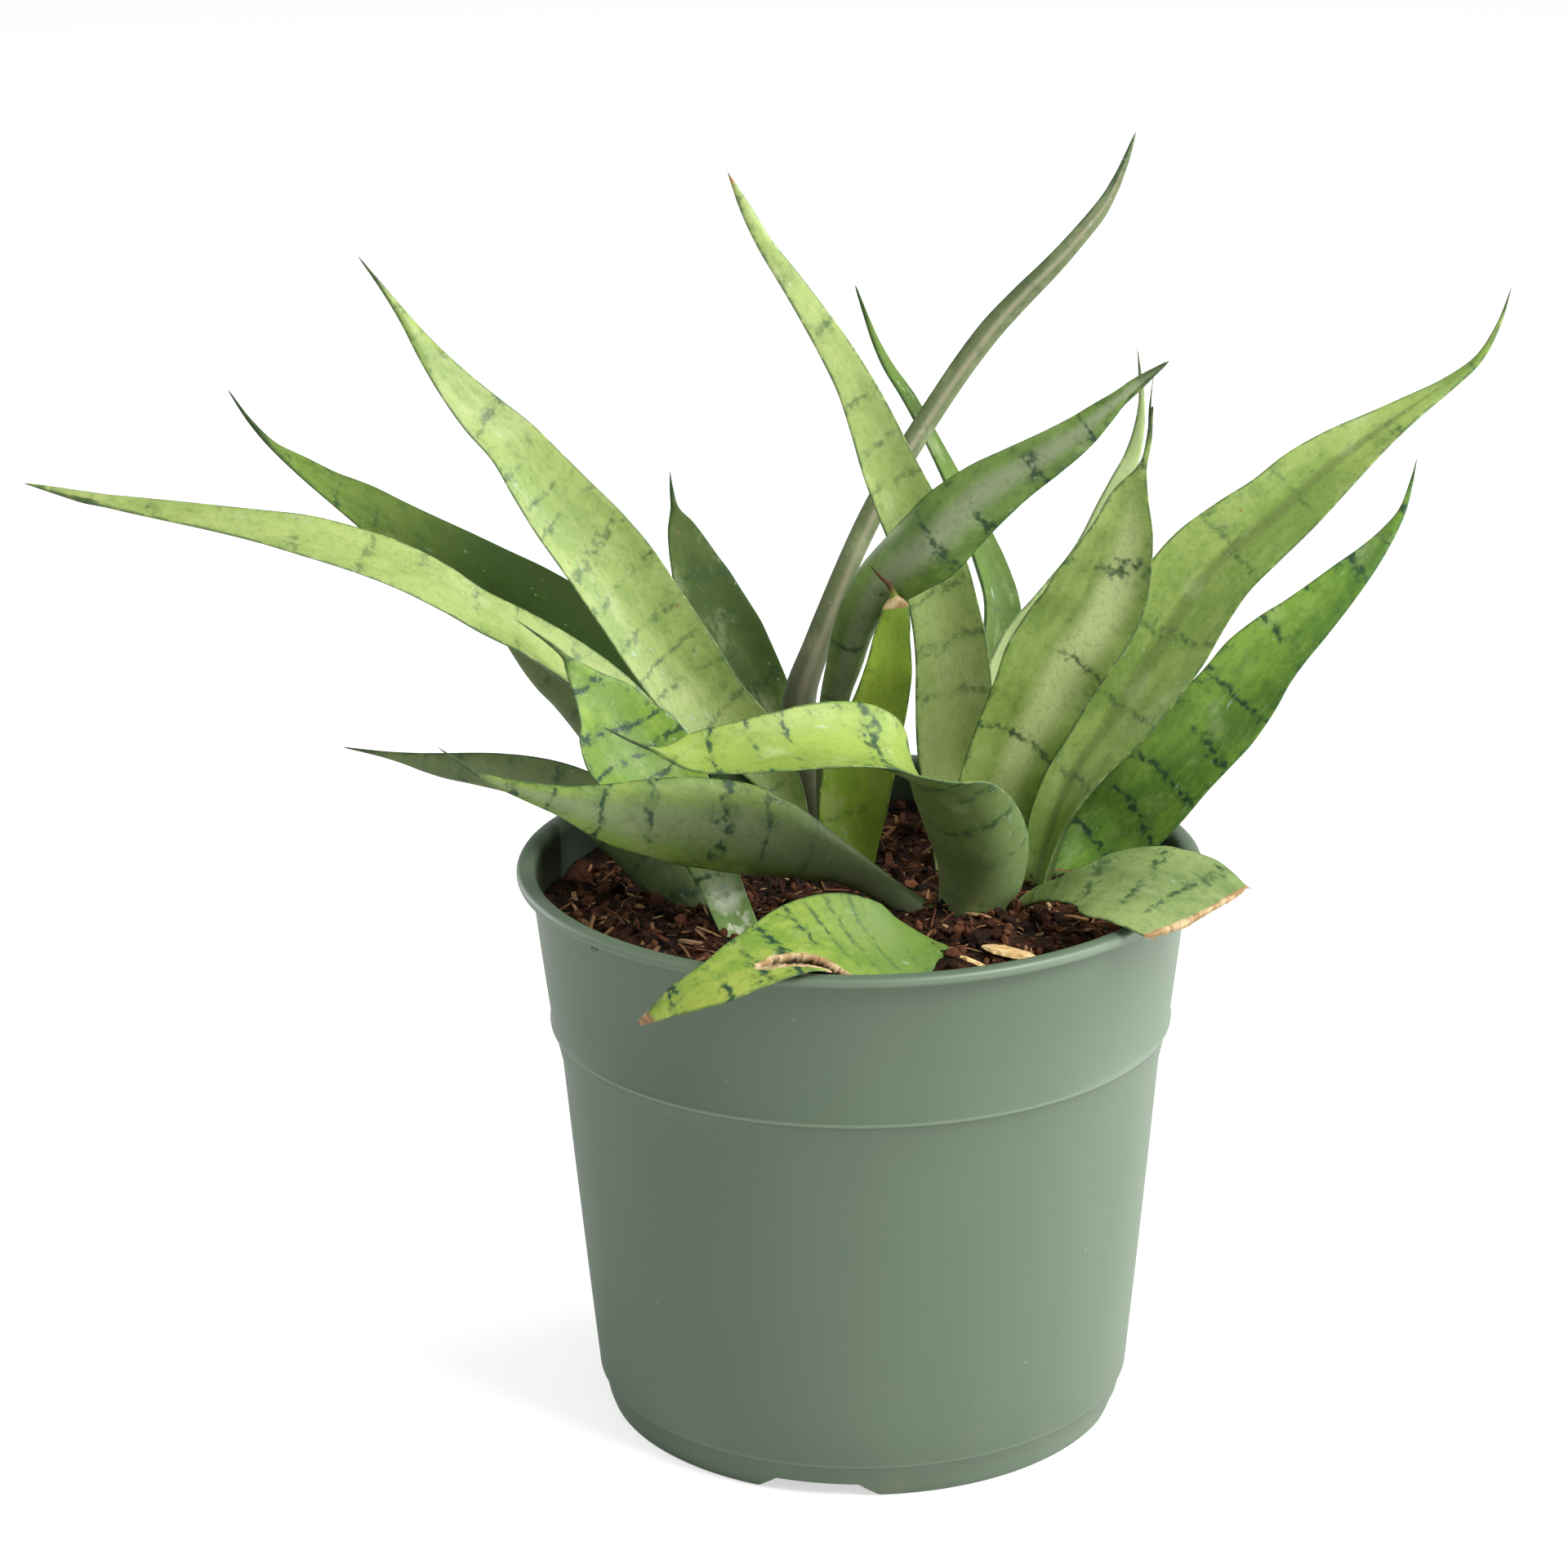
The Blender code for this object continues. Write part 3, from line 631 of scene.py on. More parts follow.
def soilOutline():
    points = np.array([vertex.co[:] for vertex in nodes["soil"].data.vertices])
    radius = np.hypot(points[:, 0], points[:, 1])
    outline = []
    for height in sorted(set(np.round(points[:, 2], 4)), reverse=True):
        near = np.abs(points[:, 2] - height) < 0.06 * mm
        widest = radius[near].max()
        if widest > 50 * mm:
            outline.append((float(widest), float(height)))
    return outline


def makeSoil(material):
    outline = soilOutline()
    top = outline[0][1]
    reach = outline[0][0]
    spokes = soilLook["spokes"]
    points = [(0.0, 0.0, top + lumpHeight(0.0, 0.0))]
    rows = []
    for ring in range(1, soilLook["rings"] + 1):
        radius = reach * ring / soilLook["rings"]
        row = []
        for spoke in range(spokes):
            angle = 2 * math.pi * spoke / spokes
            x, y = radius * math.cos(angle), radius * math.sin(angle)
            edge = max(0.0, 1 - (reach - radius) / (6 * mm))
            row.append(len(points))
            points.append((x, y, top + lumpHeight(x, y) + 0.6 * mm + edge * 0.8 * mm))
        rows.append(row)
    for radius, height in [(radius, height - 0.4 * mm) for radius, height in outline[1:]]:
        row = []
        for spoke in range(spokes):
            angle = 2 * math.pi * spoke / spokes
            row.append(len(points))
            points.append((radius * math.cos(angle), radius * math.sin(angle), max(height, outline[-1][1])))
        rows.append(row)
    faces = []
    for spoke in range(spokes):
        faces.append((0, rows[0][spoke], rows[0][(spoke + 1) % spokes]))
    for first, second in zip(rows, rows[1:]):
        for spoke in range(spokes):
            after = (spoke + 1) % spokes
            faces.append((first[spoke], second[spoke], second[after], first[after]))
    faces.append(tuple(reversed(rows[-1])))
    soil = addPiece("soil_crumbly", points, faces, material, "potting_mix", ["soil"])
    tones = [0.25 * max(0.0, noise.noise(Vector(point) * 400.0)) for point in points]
    floatAttribute(soil, "tone", tones)
    return top, reach


def makeBits(material, top, reach):
    points = []
    faces = []
    tones = []

    def spot(inset):
        radius = (reach - inset) * math.sqrt(dice.random())
        angle = dice.uniform(0, 2 * math.pi)
        x, y = radius * math.cos(angle), radius * math.sin(angle)
        return Vector((x, y, top + lumpHeight(x, y) + 0.6 * mm))

    def put(local, made, tone, at, turn):
        start = len(points)
        for point in local:
            points.append(tuple(turn @ Vector(point) + at))
            tones.append(tone)
        for face in made:
            faces.append([start + corner for corner in face])

    ball = bmesh.new()
    bmesh.ops.create_icosphere(ball, subdivisions=1, radius=1.0)
    ballPoints = [vertex.co.copy() for vertex in ball.verts]
    ballFaces = [[vertex.index for vertex in face.verts] for face in ball.faces]
    ball.free()

    def anyTurn(tilt):
        return (
            Matrix.Rotation(dice.uniform(0, 2 * math.pi), 3, "Z")
            @ Matrix.Rotation(dice.uniform(-tilt, tilt), 3, "Y")
            @ Matrix.Rotation(dice.uniform(-tilt, tilt), 3, "X")
        )

    for _ in range(soilLook["crumbs"]):
        size = dice.uniform(*soilLook["crumbSize"]) * mm * dice.choice((0.6, 0.8, 1.0))
        stretch = Vector((dice.uniform(0.7, 1.5), dice.uniform(0.6, 1.1), dice.uniform(0.5, 0.9)))
        local = []
        for point in ballPoints:
            rough = size * dice.uniform(0.7, 1.2)
            local.append(tuple(point * stretch * rough))
        tone = dice.choice((0.0, 0.1, 0.2, 0.35, 0.45))
        put(local, ballFaces, tone, spot(3 * mm) + Vector((0, 0, size * 0.3)), anyTurn(1.2))
    for _ in range(soilLook["chips"]):
        length = dice.uniform(*soilLook["chipLength"]) * mm * dice.choice((0.5, 0.7, 1.0))
        width = length * dice.uniform(0.12, 0.4)
        thick = length * dice.uniform(0.05, 0.16)
        local = []
        for share in (-0.5, -0.15, 0.2, 0.5):
            narrow = 1.0 - abs(share) * dice.uniform(0.3, 1.5)
            bow = (0.25 - share * share) * dice.uniform(-0.3, 0.3) * width
            for side, level in ((-1, -1), (1, -1), (1, 1), (-1, 1)):
                aside, height = side * width / 2 * narrow + bow, level * thick / 2 * narrow + bow
                local.append((share * length, aside, height))
        made = tubeFaces(4, 4)
        tone = dice.choice((0.0, 0.25, 0.4, 0.6, 0.72, 0.8, 0.95))
        put(local, made, tone, spot(4 * mm) + Vector((0, 0, thick * 0.7)), anyTurn(0.7))
    for _ in range(soilLook["fibres"]):
        length = dice.uniform(*soilLook["fibreLength"]) * mm
        thick = dice.uniform(0.12, 0.34) * mm
        bend = dice.uniform(-0.6, 0.6)
        lift = dice.uniform(0.0, 0.25)
        local = []
        for part in range(6):
            share = part / 5 - 0.5
            for corner in range(3):
                angle = corner * 2 * math.pi / 3
                local.append((
                    share * length,
                    (share * share * bend) * length + thick * math.cos(angle),
                    (0.25 - share * share) * lift * length + thick * math.sin(angle),
                ))
        made = tubeFaces(6, 3)
        tone = dice.choice((0.4, 0.5, 0.6, 0.7, 0.8))
        put(local, made, tone, spot(9 * mm) + Vector((0, 0, 0.3 * mm)), anyTurn(0.3))
    bits = addPiece("soil_bits", points, faces, material, "potting_mix", smooth=False)
    floatAttribute(bits, "tone", tones)


mixMaterial = soilMaterial()
soilTop, soilReach = makeSoil(mixMaterial)
makeBits(mixMaterial, soilTop, soilReach)
print("potting mix done")


chipLook = {
    "wood_chip_large": {"length": 13.0, "width": 5.0, "thick": 2.2, "rise": 0.14},
    "wood_chip_upright": {"length": 6.2, "width": 2.6, "thick": 1.4, "rise": 0.55},
    "wood_chip_small": {"length": 4.8, "width": 2.8, "thick": 1.2, "rise": 0.20},
}


chipSection = ((-1, -0.6), (-0.3, -1), (0.5, -0.8), (1, -0.3), (0.8, 0.6), (0.2, 1), (-0.6, 0.7))


def chipMaterial():
    material, tree = newMaterial("wood_chip_split")
    place = addNode(tree, "TexCoord", {}, out="Object")
    grain = noiseAt(tree, scaled(tree, place, (260.0, 1500.0, 1500.0)), 1.0, 4.0, 0.6)
    stain = noiseAt(tree, place, 420.0, 3.0, 0.6)
    colour = mixColour(tree, grain.step(0.35, 0.65), (0.62, 0.36, 0.13), (0.95, 0.72, 0.38))
    colour = mixColour(tree, stain.step(0.58, 0.72) * 0.7, colour, (0.25, 0.11, 0.045))
    finishShader(tree, colour, 0.72, grain, 0.0003, 0.7, {"Specular IOR Level": 0.3})
    return material


def makeChips():
    material = chipMaterial()
    for name, look in chipLook.items():
        low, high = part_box(name)
        points = np.array([vertex.co[:] for vertex in nodes[name].data.vertices])
        centre = points.mean(axis=0)
        flat = points[:, :2] - centre[:2]
        along = np.linalg.eigh(flat.T @ flat)[1][:, 1]
        length, width, thick = look["length"] * mm, look["width"] * mm, look["thick"] * mm
        across = np.array([-along[1], along[0]])
        local = []
        rows = 13
        for row in range(rows):
            share = row / (rows - 1) - 0.5
            ragged = 1.0 - abs(2 * share) ** 3 * 0.75
            ragged += 0.18 * noise.noise(Vector((row * 0.9, centre[0] * 900, 1.0)))
            for side, level in chipSection:
                rough = 1 + 0.22 * noise.noise(Vector((row * 1.7, side * 3, level * 3 + centre[1] * 500)))
                reach = share * length + 0.9 * mm * side * abs(share)
                sideways = side * width / 2 * ragged * rough
                height = level * thick / 2 * ragged * rough + share * look["rise"] * length
                spot = centre[:2] + along * reach + across * sideways
                local.append((spot[0], spot[1], low[2] + thick * 0.6 + look["rise"] * length / 2 + height))
        faces = [tuple(range(6, -1, -1)), tuple((rows - 1) * 7 + corner for corner in range(7))]
        for row in range(rows - 1):
            for corner in range(7):
                after = (corner + 1) % 7
                faces.append((row * 7 + corner, row * 7 + after, row * 7 + 7 + after, row * 7 + 7 + corner))
        addPiece(name + "_split", local, faces, material, "wood_chip", [name], smooth=False)


makeChips()
print("wood chips done")


green = {
    "bandDark": (0.018, 0.062, 0.028),
    "margin": (0.034, 0.098, 0.036),
    "awl": (0.040, 0.068, 0.028),
    "dry": (0.38, 0.23, 0.10),
    "fibre": (0.66, 0.50, 0.28),
    "pale": (0.56, 0.64, 0.36),
    "chalk": (0.50, 0.68, 0.56),
    "rust": (0.26, 0.13, 0.05),
    "charred": (0.10, 0.045, 0.02),
    "witheredDark": (0.05, 0.02, 0.01),
}
leafLook = {
    "leaf_curled_front": {
        "upper": (0.34, 0.46, 0.085), "upperDeep": (0.20, 0.32, 0.045),
        "under": (0.15, 0.21, 0.065), "underDeep": (0.09, 0.14, 0.042),
        "bands": 1.0, "gap": 13.0, "mottle": 0.7, "root": (0.22, 0.31, 0.12), "rootLength": 48.0, "awl": 11.0,
        "pinch": (12.0, 0.5),
    },
    "leaf_cut": {
        "upper": (0.33, 0.44, 0.155), "upperDeep": (0.20, 0.30, 0.095),
        "under": (0.10, 0.15, 0.05), "underDeep": (0.06, 0.10, 0.03),
        "bands": 0.7, "gap": 12.0, "mottle": 1.0, "root": (0.33, 0.43, 0.18), "rootLength": 14.0, "awl": 0.0,
        "endTorn": 1.3, "endSag": 1.1,
    },
    "leaf_wide_right": {
        "upper": (0.34, 0.47, 0.120), "upperDeep": (0.21, 0.33, 0.065),
        "under": (0.11, 0.17, 0.05), "underDeep": (0.07, 0.11, 0.03),
        "bands": 0.45, "gap": 24.0, "mottle": 1.0, "crease": (0.12, 0.175, 0.045), "creaseAmount": 0.6,
        "creasePlace": 0.0, "creaseWidth": 0.26,
    },
    "leaf_low_right": {
        "upper": (0.22, 0.39, 0.055), "upperDeep": (0.10, 0.22, 0.030),
        "under": (0.09, 0.14, 0.04), "underDeep": (0.05, 0.09, 0.02),
        "bands": 1.0, "gap": 13.0, "mottle": 1.0,
    },
    "leaf_front_channel": {
        "upper": (0.33, 0.45, 0.115), "upperDeep": (0.19, 0.30, 0.055),
        "under": (0.14, 0.22, 0.06), "underDeep": (0.09, 0.15, 0.04),
        "bands": 0.8, "gap": 26.0, "mottle": 1.0, "crease": (0.66, 0.76, 0.34), "creaseAmount": 0.95,
        "creasePlace": 0.30, "creaseWidth": 0.62,
    },
    "leaf_behind_channel": {
        "upper": (0.38, 0.48, 0.20), "upperDeep": (0.25, 0.34, 0.12),
        "under": (0.30, 0.40, 0.15), "underDeep": (0.2, 0.3, 0.1),
        "bands": 0.2, "gap": 24.0, "mottle": 0.5,
    },
    "leaf_tall_centre": {
        "upper": (0.37, 0.47, 0.155), "upperDeep": (0.26, 0.36, 0.095),
        "under": (0.2, 0.28, 0.08), "underDeep": (0.14, 0.2, 0.05),
        "bands": 0.4, "gap": 13.0, "mottle": 0.9, "awl": 0.0, "dryTip": (0.50, 0.24, 0.07), "dryLength": 3.5,
    },
    "leaf_slender_back": {
        "upper": (0.12, 0.20, 0.040), "upperDeep": (0.07, 0.125, 0.024),
        "under": (0.13, 0.20, 0.055), "underDeep": (0.08, 0.13, 0.036),
        "bands": 0.3, "gap": 20.0, "mottle": 0.6,
        "shine": 0.05,
    },
    "leaf_crossing": {
        "upper": (0.16, 0.25, 0.06), "upperDeep": (0.10, 0.17, 0.04),
        "under": (0.20, 0.33, 0.070), "underDeep": (0.11, 0.19, 0.042),
        "bands": 0.9, "gap": 15.0, "mottle": 1.0,
        "keel": (0.36, 0.41, 0.26), "keelAmount": 0.75, "keelWidth": 0.6,
        "root": (0.175, 0.175, 0.115), "rootLength": 90.0, "rootAmount": 0.75,
    },
    "leaf_slender_right": {
        "upper": (0.10, 0.15, 0.05), "upperDeep": (0.06, 0.10, 0.03),
        "under": (0.150, 0.190, 0.075), "underDeep": (0.085, 0.115, 0.042),
        "bands": 0.3, "gap": 20.0, "mottle": 0.8,
        "keel": (0.31, 0.29, 0.19), "keelAmount": 0.8, "keelWidth": 0.35,
        "root": (0.105, 0.100, 0.065), "rootLength": 95.0, "rootAmount": 0.7, "awl": 0.0,
    },
    "leaf_tall_left": {
        "upper": (0.38, 0.49, 0.145), "upperDeep": (0.25, 0.37, 0.085),
        "under": (0.15, 0.2, 0.06), "underDeep": (0.1, 0.14, 0.04),
        "bands": 0.5, "gap": 11.0, "mottle": 1.0, "awl": 10.0, "scuff": 0.55,
    },
    "leaf_short_back": {
        "upper": (0.085, 0.135, 0.030), "upperDeep": (0.045, 0.080, 0.018),
        "under": (0.085, 0.135, 0.030), "underDeep": (0.045, 0.080, 0.018),
        "bands": 0.45, "gap": 13.0, "mottle": 0.8, "shine": 0.08,
        "scuff": 0.1,
    },
    "leaf_far_left": {
        "upper": (0.37, 0.47, 0.145), "upperDeep": (0.25, 0.36, 0.085),
        "under": (0.15, 0.2, 0.06), "underDeep": (0.1, 0.14, 0.04),
        "bands": 0.45, "gap": 16.0, "mottle": 0.9, "awl": 0.0,
    },
    "leaf_back_left": {
        "upper": (0.20, 0.30, 0.060), "upperDeep": (0.105, 0.175, 0.032),
        "under": (0.10, 0.14, 0.04), "underDeep": (0.06, 0.09, 0.03),
        # painted shadow: the near-black root colour covers the lower 90 to 150 mm of the blade, standing in
        # for the shadow another leaf casts on it
        "bands": 0.6, "gap": 14.0, "mottle": 0.9, "root": (0.024, 0.050, 0.008), "rootLength": 150.0,
        "rootAmount": 0.95, "awl": 18.0, "shine": 0.06,
        "rootFull": 0.6,
    },
    "leaf_under_left": {
        "upper": (0.16, 0.22, 0.07), "upperDeep": (0.09, 0.14, 0.04),
        "under": (0.165, 0.225, 0.070), "underDeep": (0.095, 0.145, 0.040),
        "bands": 0.4, "gap": 12.0, "mottle": 0.7,
    },
    "leaf_bright_left": {
        "upper": (0.31, 0.48, 0.060), "upperDeep": (0.16, 0.31, 0.032),
        "under": (0.2, 0.3, 0.06), "underDeep": (0.12, 0.2, 0.03),
        "bands": 1.0, "gap": 9.5, "mottle": 0.9, "root": (0.90, 0.98, 0.74), "rootLength": 26.0, "awl": 15.0,
        "scuff": 0.8,
        "pinch": (15.0, 0.7),
        "rootEdge": (0.26, 0.43, 0.13),
    },
    "leaf_low_left": {
        "upper": (0.16, 0.24, 0.06), "upperDeep": (0.10, 0.16, 0.04),
        "under": (0.29, 0.43, 0.080), "underDeep": (0.15, 0.25, 0.045),
        "bands": 0.95, "gap": 13.0, "mottle": 0.9, "keel": (0.30, 0.35, 0.22), "keelAmount": 0.55,
        "keelWidth": 0.85, "root": (0.085, 0.100, 0.060), "rootLength": 62.0, "rootAmount": 0.7, "awl": 14.0,
    },
    "leaf_thin_low_left": {
        "upper": (0.18, 0.24, 0.09), "upperDeep": (0.11, 0.16, 0.05),
        "under": (0.200, 0.270, 0.100), "underDeep": (0.120, 0.170, 0.060),
        "bands": 0.5, "gap": 13.0, "mottle": 0.7,
    },
    "leaf_over_rim": {
        "upper": (0.36, 0.45, 0.075), "upperDeep": (0.17, 0.30, 0.036),
        "under": (0.12, 0.18, 0.04), "underDeep": (0.07, 0.11, 0.02),
        "bands": 1.15, "gap": 9.0, "mottle": 1.0, "root": (0.12, 0.235, 0.045), "rootLength": 62.0,
        "rootAmount": 0.8, "awl": 0.0, "dryTip": (0.40, 0.25, 0.13), "dryLength": 4.0,
        # the outline of a torn slit beside the near margin, as shares along and across the blade
        "hole": ((0.68, -0.27), (0.63, -0.20), (0.56, -0.28), (0.50, -0.42), (0.465, -0.70), (0.44, -1.3),
                 (0.53, -1.3), (0.545, -0.92), (0.60, -0.66), (0.645, -0.45)),
        "char": 0.8,
        # the share along the blade, and how far its near and far margins sink there
        "settle": ((0.0, 0.0, 0.0), (0.15, -3.0, -0.8), (0.3, -4.5, -1.8), (0.45, -4.5, -2.7),
                   (0.52, -3.0, -2.7), (0.6, -1.8, -2.7), (0.75, -1.4, -2.2), (0.9, -1.2, -0.8),
                   (1.0, -0.8, 0.0)),
        "perRing": 9, "across": 33,
    },
    "leaf_broken": {
        "upper": (0.30, 0.42, 0.050), "upperDeep": (0.19, 0.32, 0.030),
        "under": (0.12, 0.2, 0.03), "underDeep": (0.08, 0.14, 0.02),
        "bands": 0.3, "gap": 18.0, "mottle": 0.7, "awl": 0.0,
        "dryTip": (0.13, 0.062, 0.030), "dryLength": 12.5,
        "tornFrom": 12.6, "tornTo": 15.6,
        "pinch": (12.6, 0.5),
    },
}
leafShape = {
    "perRing": 5,
    "across": 13,
    "edgeThickness": 0.28 * mm,
    "rootSink": 7.0 * mm,
    "wave": 0.35 * mm,
    "waveLength": 34.0,
}


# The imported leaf's rings of eight corners, in order from the mix to the tip, and the tip where it has one.
def readRings(node):
    shape = bmesh.new()
    shape.from_mesh(node.data)
    bmesh.ops.remove_doubles(shape, verts=shape.verts, dist=0.003 * mm)
    lowest = min(vertex.co.z for vertex in shape.verts)
    level = [vertex for vertex in shape.verts if vertex.co.z < lowest + 0.02 * mm]
    seen = set(level)
    levels = []
    while level:
        levels.append(level)
        following = []
        for vertex in level:
            for edge in vertex.link_edges:
                other = edge.other_vert(vertex)
                if other not in seen:
                    seen.add(other)
                    following.append(other)
        level = following
    tip = None
    if len(levels[-1]) == 1:
        tip = np.array(levels[-1][0].co)
        levels.pop()
    rings = []
    for index, level in enumerate(levels):
        members = set(level)
        if index in (0, len(levels) - 1):
            rings.append([np.array(vertex.co) for vertex in level])
            continue
        order = [level[0]]
        while len(order) < len(level):
            here = order[-1]
            nearby = [edge.other_vert(here) for edge in here.link_edges]
            nearby = [other for other in nearby if other in members and other not in order]
            if not nearby:
                break
            order.append(nearby[0])
        rings.append([np.array(vertex.co) for vertex in order])
    shape.free()
    return [np.array(ring) for ring in rings], tip


def matchRing(ring, pattern, ordered):
    here = ring - ring.mean(axis=0)
    there = pattern - pattern.mean(axis=0)
    if ordered:
        best = None
        for way in (1, -1):
            for turn in range(8):
                tried = np.roll(np.arange(8)[::way], turn)
                cost = ((here[tried] - there) ** 2).sum()
                if best is None or cost < best[0]:
                    best = (cost, tried)
        return ring[best[1]]
    gaps = ((here[:, None] - there[None]) ** 2).sum(axis=-1)
    chosen = [0] * 8
    for _ in range(8):
        which, place = np.unravel_index(np.argmin(gaps), gaps.shape)
        chosen[place] = which
        gaps[which, :] = 1e9
        gaps[:, place] = 1e9
    return ring[chosen]


# Five points across the middle of the leaf at each ring, the way its hollow side looks, and its thickness.
def leafSkeleton(node):
    rings, tip = readRings(node)
    count = len(rings)
    for index in range(2, count):
        rings[index] = matchRing(rings[index], rings[index - 1], index < count - 1)
    rings[0] = matchRing(rings[0], rings[1], False)
    rings = np.array(rings)
    spans = [np.linalg.norm(rings[:, first] - rings[:, first + 4], axis=-1).sum() for first in range(4)]
    edge = int(np.argmax(spans))
    rings = np.roll(rings, -edge, axis=1)
    middle = (rings[:, 0] + rings[:, 4]) / 2
    oneSide = np.linalg.norm(rings[:, 2] - middle, axis=-1).sum()
    otherSide = np.linalg.norm(rings[:, 6] - middle, axis=-1).sum()
    upper, lower = (rings[:, 1:4], rings[:, [7, 6, 5]])
    if oneSide > otherSide:
        upper, lower = lower, upper
    rows = np.concatenate([rings[:, :1], (upper + lower) / 2, rings[:, 4:5]], axis=1)
    looks = unit(upper[:, 1] - lower[:, 1])
    thickness = np.linalg.norm(upper[:, 1] - lower[:, 1], axis=-1)
    if tip is not None:
        rows = np.concatenate([rows, np.repeat(tip[None, None], 5, axis=1)])
        looks = np.concatenate([looks, looks[-1:]])
        thickness = np.append(thickness, 0.25 * mm)
    return rows, looks, thickness, tip is not None


acrossKnots = np.array([-1.0, -0.55, 0.0, 0.55, 1.0])


def acrossWeights(places):
    weights = np.ones((len(places), 5))
    for which in range(5):
        for other in range(5):
            if other != which:
                weights[:, which] *= (places - acrossKnots[other]) / (acrossKnots[which] - acrossKnots[other])
    return weights


def makeLeaf(name, look, seed):
    rows, looks, thickness, pointed = leafSkeleton(nodes[name])
    centres = rows[:, 2]
    knots = np.concatenate([[0.0], np.cumsum(np.linalg.norm(np.diff(centres, axis=0), axis=1))])
    length = knots[-1]
    sink = leafShape["rootSink"]
    # the blade goes on into the mix, so that uneven ground never shows its cut foot
    knots = np.concatenate([[-sink], knots])
    rows = np.concatenate([rows[:1] - np.array([0.0, 0.0, sink]), rows])
    looks = np.concatenate([looks[:1], looks])
    thickness = np.concatenate([thickness[:1], thickness])
    places = []
    for start, end in zip(knots, knots[1:]):
        places.extend(np.linspace(start, end, look.get("perRing", leafShape["perRing"]), endpoint=False))
    places.append(knots[-1])
    places = np.array(places)
    body = smoothThrough(knots, rows, places)
    facing = unit(smoothThrough(knots, looks, places))
    thick = np.maximum(smoothThrough(knots, thickness, places), 0.2 * mm)
    across = np.sin(np.linspace(-math.pi / 2, math.pi / 2, look.get("across", leafShape["across"])))
    nearSide = 1.0 if body[len(body) // 2, 4, 1] < body[len(body) // 2, 0, 1] else -1.0
    middle = np.einsum("kf,nfc->nkc", acrossWeights(across), body)
    half = np.linalg.norm(body[:, 4] - body[:, 0], axis=-1) / 2
    # slow undulation of each margin, fading out at the root and the tip
    fade = np.clip(places / (25 * mm), 0, 1) * np.clip((length - places) / (30 * mm), 0, 1)
    for side in (-1, 1):
        ripple = noiseLine(places, 1 / (leafShape["waveLength"] * mm), seed * 7.3 + side)
        ripple = ripple * leafShape["wave"] * 2
        lift = np.clip(across * side, 0, 1) ** 2
        middle += (ripple * fade)[:, None, None] * lift[None, :, None] * facing[:, None, :]
    along = np.clip(places / length, 0, 1)
    if "pinch" in look:
        # the withered awl is much thinner than the blade that carries it
        start, narrow = look["pinch"]
        part = np.clip((length - places - start * mm) / (1.5 * mm), 0, 1)[:, None, None]
        spine = middle[:, len(across) // 2][:, None]
        middle = spine + (middle - spine) * (narrow + (1 - narrow) * part)
    if "settle" in look:
        stops, near, far = np.array(look["settle"]).T
        part = (1 - across * nearSide) / 2
        nearSunk = np.interp(along, stops, near)[:, None]
        farSunk = np.interp(along, stops, far)[:, None]
        sunk = nearSunk * (1 - part) + farSunk * part
        middle[..., 2] += sunk * mm
    if "endSag" in look:
        bow = np.clip(1 - (length - places) / (22 * mm), 0, 1) ** 2
        middle[..., 2] -= look["endSag"] * mm * bow[:, None] * (1 - across**2)
        # a ragged end, with fibres left standing
        ragged = noiseLine(across, 9.0, 3.1) * 1.1 * mm
        middle[-1] += ragged[:, None] * unit(middle[-1] - middle[-2])
    lengthways = np.gradient(middle, places, axis=0)
    sideways = np.gradient(middle, across, axis=1)
    normal = unit(np.cross(lengthways, sideways))
    flip = np.sign((normal * facing[:, None, :]).sum(axis=(1, 2)))
    normal *= np.where(flip == 0, 1, flip)[:, None, None]
    if pointed:
        normal[-1] = facing[-1]
    section = (1 - np.abs(across) ** 2.4) ** 0.75
    depth = leafShape["edgeThickness"] / 2 + section[None, :] * (thick[:, None] / 2 * 0.86)
    if pointed:
        depth[-1] = 0.1 * mm
    upper = middle + normal * depth[..., None]
    lower = middle - normal * depth[..., None]
    count, wide = len(places), len(across)
    points = np.concatenate([upper.reshape(-1, 3), lower.reshape(-1, 3)])
    faces = []
    offset = count * wide
    gone, torn = tornPlaces(look, along, across * -nearSide, length, half, places)
    for row in range(count - 1):
        for column in range(wide - 1):
            a = row * wide + column
            if gone[row, column]:
                continue
            beside = (
                ((row, column - 1), a, a + wide),
                ((row, column + 1), a + 1, a + wide + 1),
                ((row - 1, column), a, a + 1),
                ((row + 1, column), a + wide, a + wide + 1),
            )
            for other, first, second in beside:
                inside = 0 <= other[0] < count - 1 and 0 <= other[1] < wide - 1
                if inside and gone[other]:
                    faces.append((first, second, offset + second, offset + first))
            faces.append((a, a + 1, a + wide + 1, a + wide))
            faces.append((offset + a, offset + a + wide, offset + a + wide + 1, offset + a + 1))
        left = row * wide
        right = left + wide - 1
        if not gone[row, 0]:
            faces.append((left, left + wide, offset + left + wide, offset + left))
        if not gone[row, -1]:
            faces.append((right, offset + right, offset + right + wide, right + wide))
    for row, way in ((0, 1), (count - 1, -1)):
        base = row * wide
        for column in range(wide - 1):
            a = base + column
            faces.append((a, offset + a, offset + a + 1, a + 1)[::way])
    distance = np.repeat(places[:, None], wide, axis=1)
    aside = across[None, :] * half[:, None]
    seeds = np.full_like(distance, seed * 0.31)
    place = np.stack([aside, distance, seeds], axis=-1).reshape(-1, 3)
    side = np.repeat(across[None, :], count, axis=0)
    share = np.stack([side, distance / length, np.ones_like(distance)], axis=-1).reshape(-1, 3)
    shareLow = share.copy()
    shareLow[:, 2] = 0.0
    margin = (half[:, None] * (1 - np.abs(across[None, :]))).reshape(-1)
    toTip = (length - distance).reshape(-1)
    piece = addPiece(name + "_blade", points, faces, leafMaterial(name, look), slotOf(name), [name])
    vectorAttribute(piece, "place", np.concatenate([place, place]))
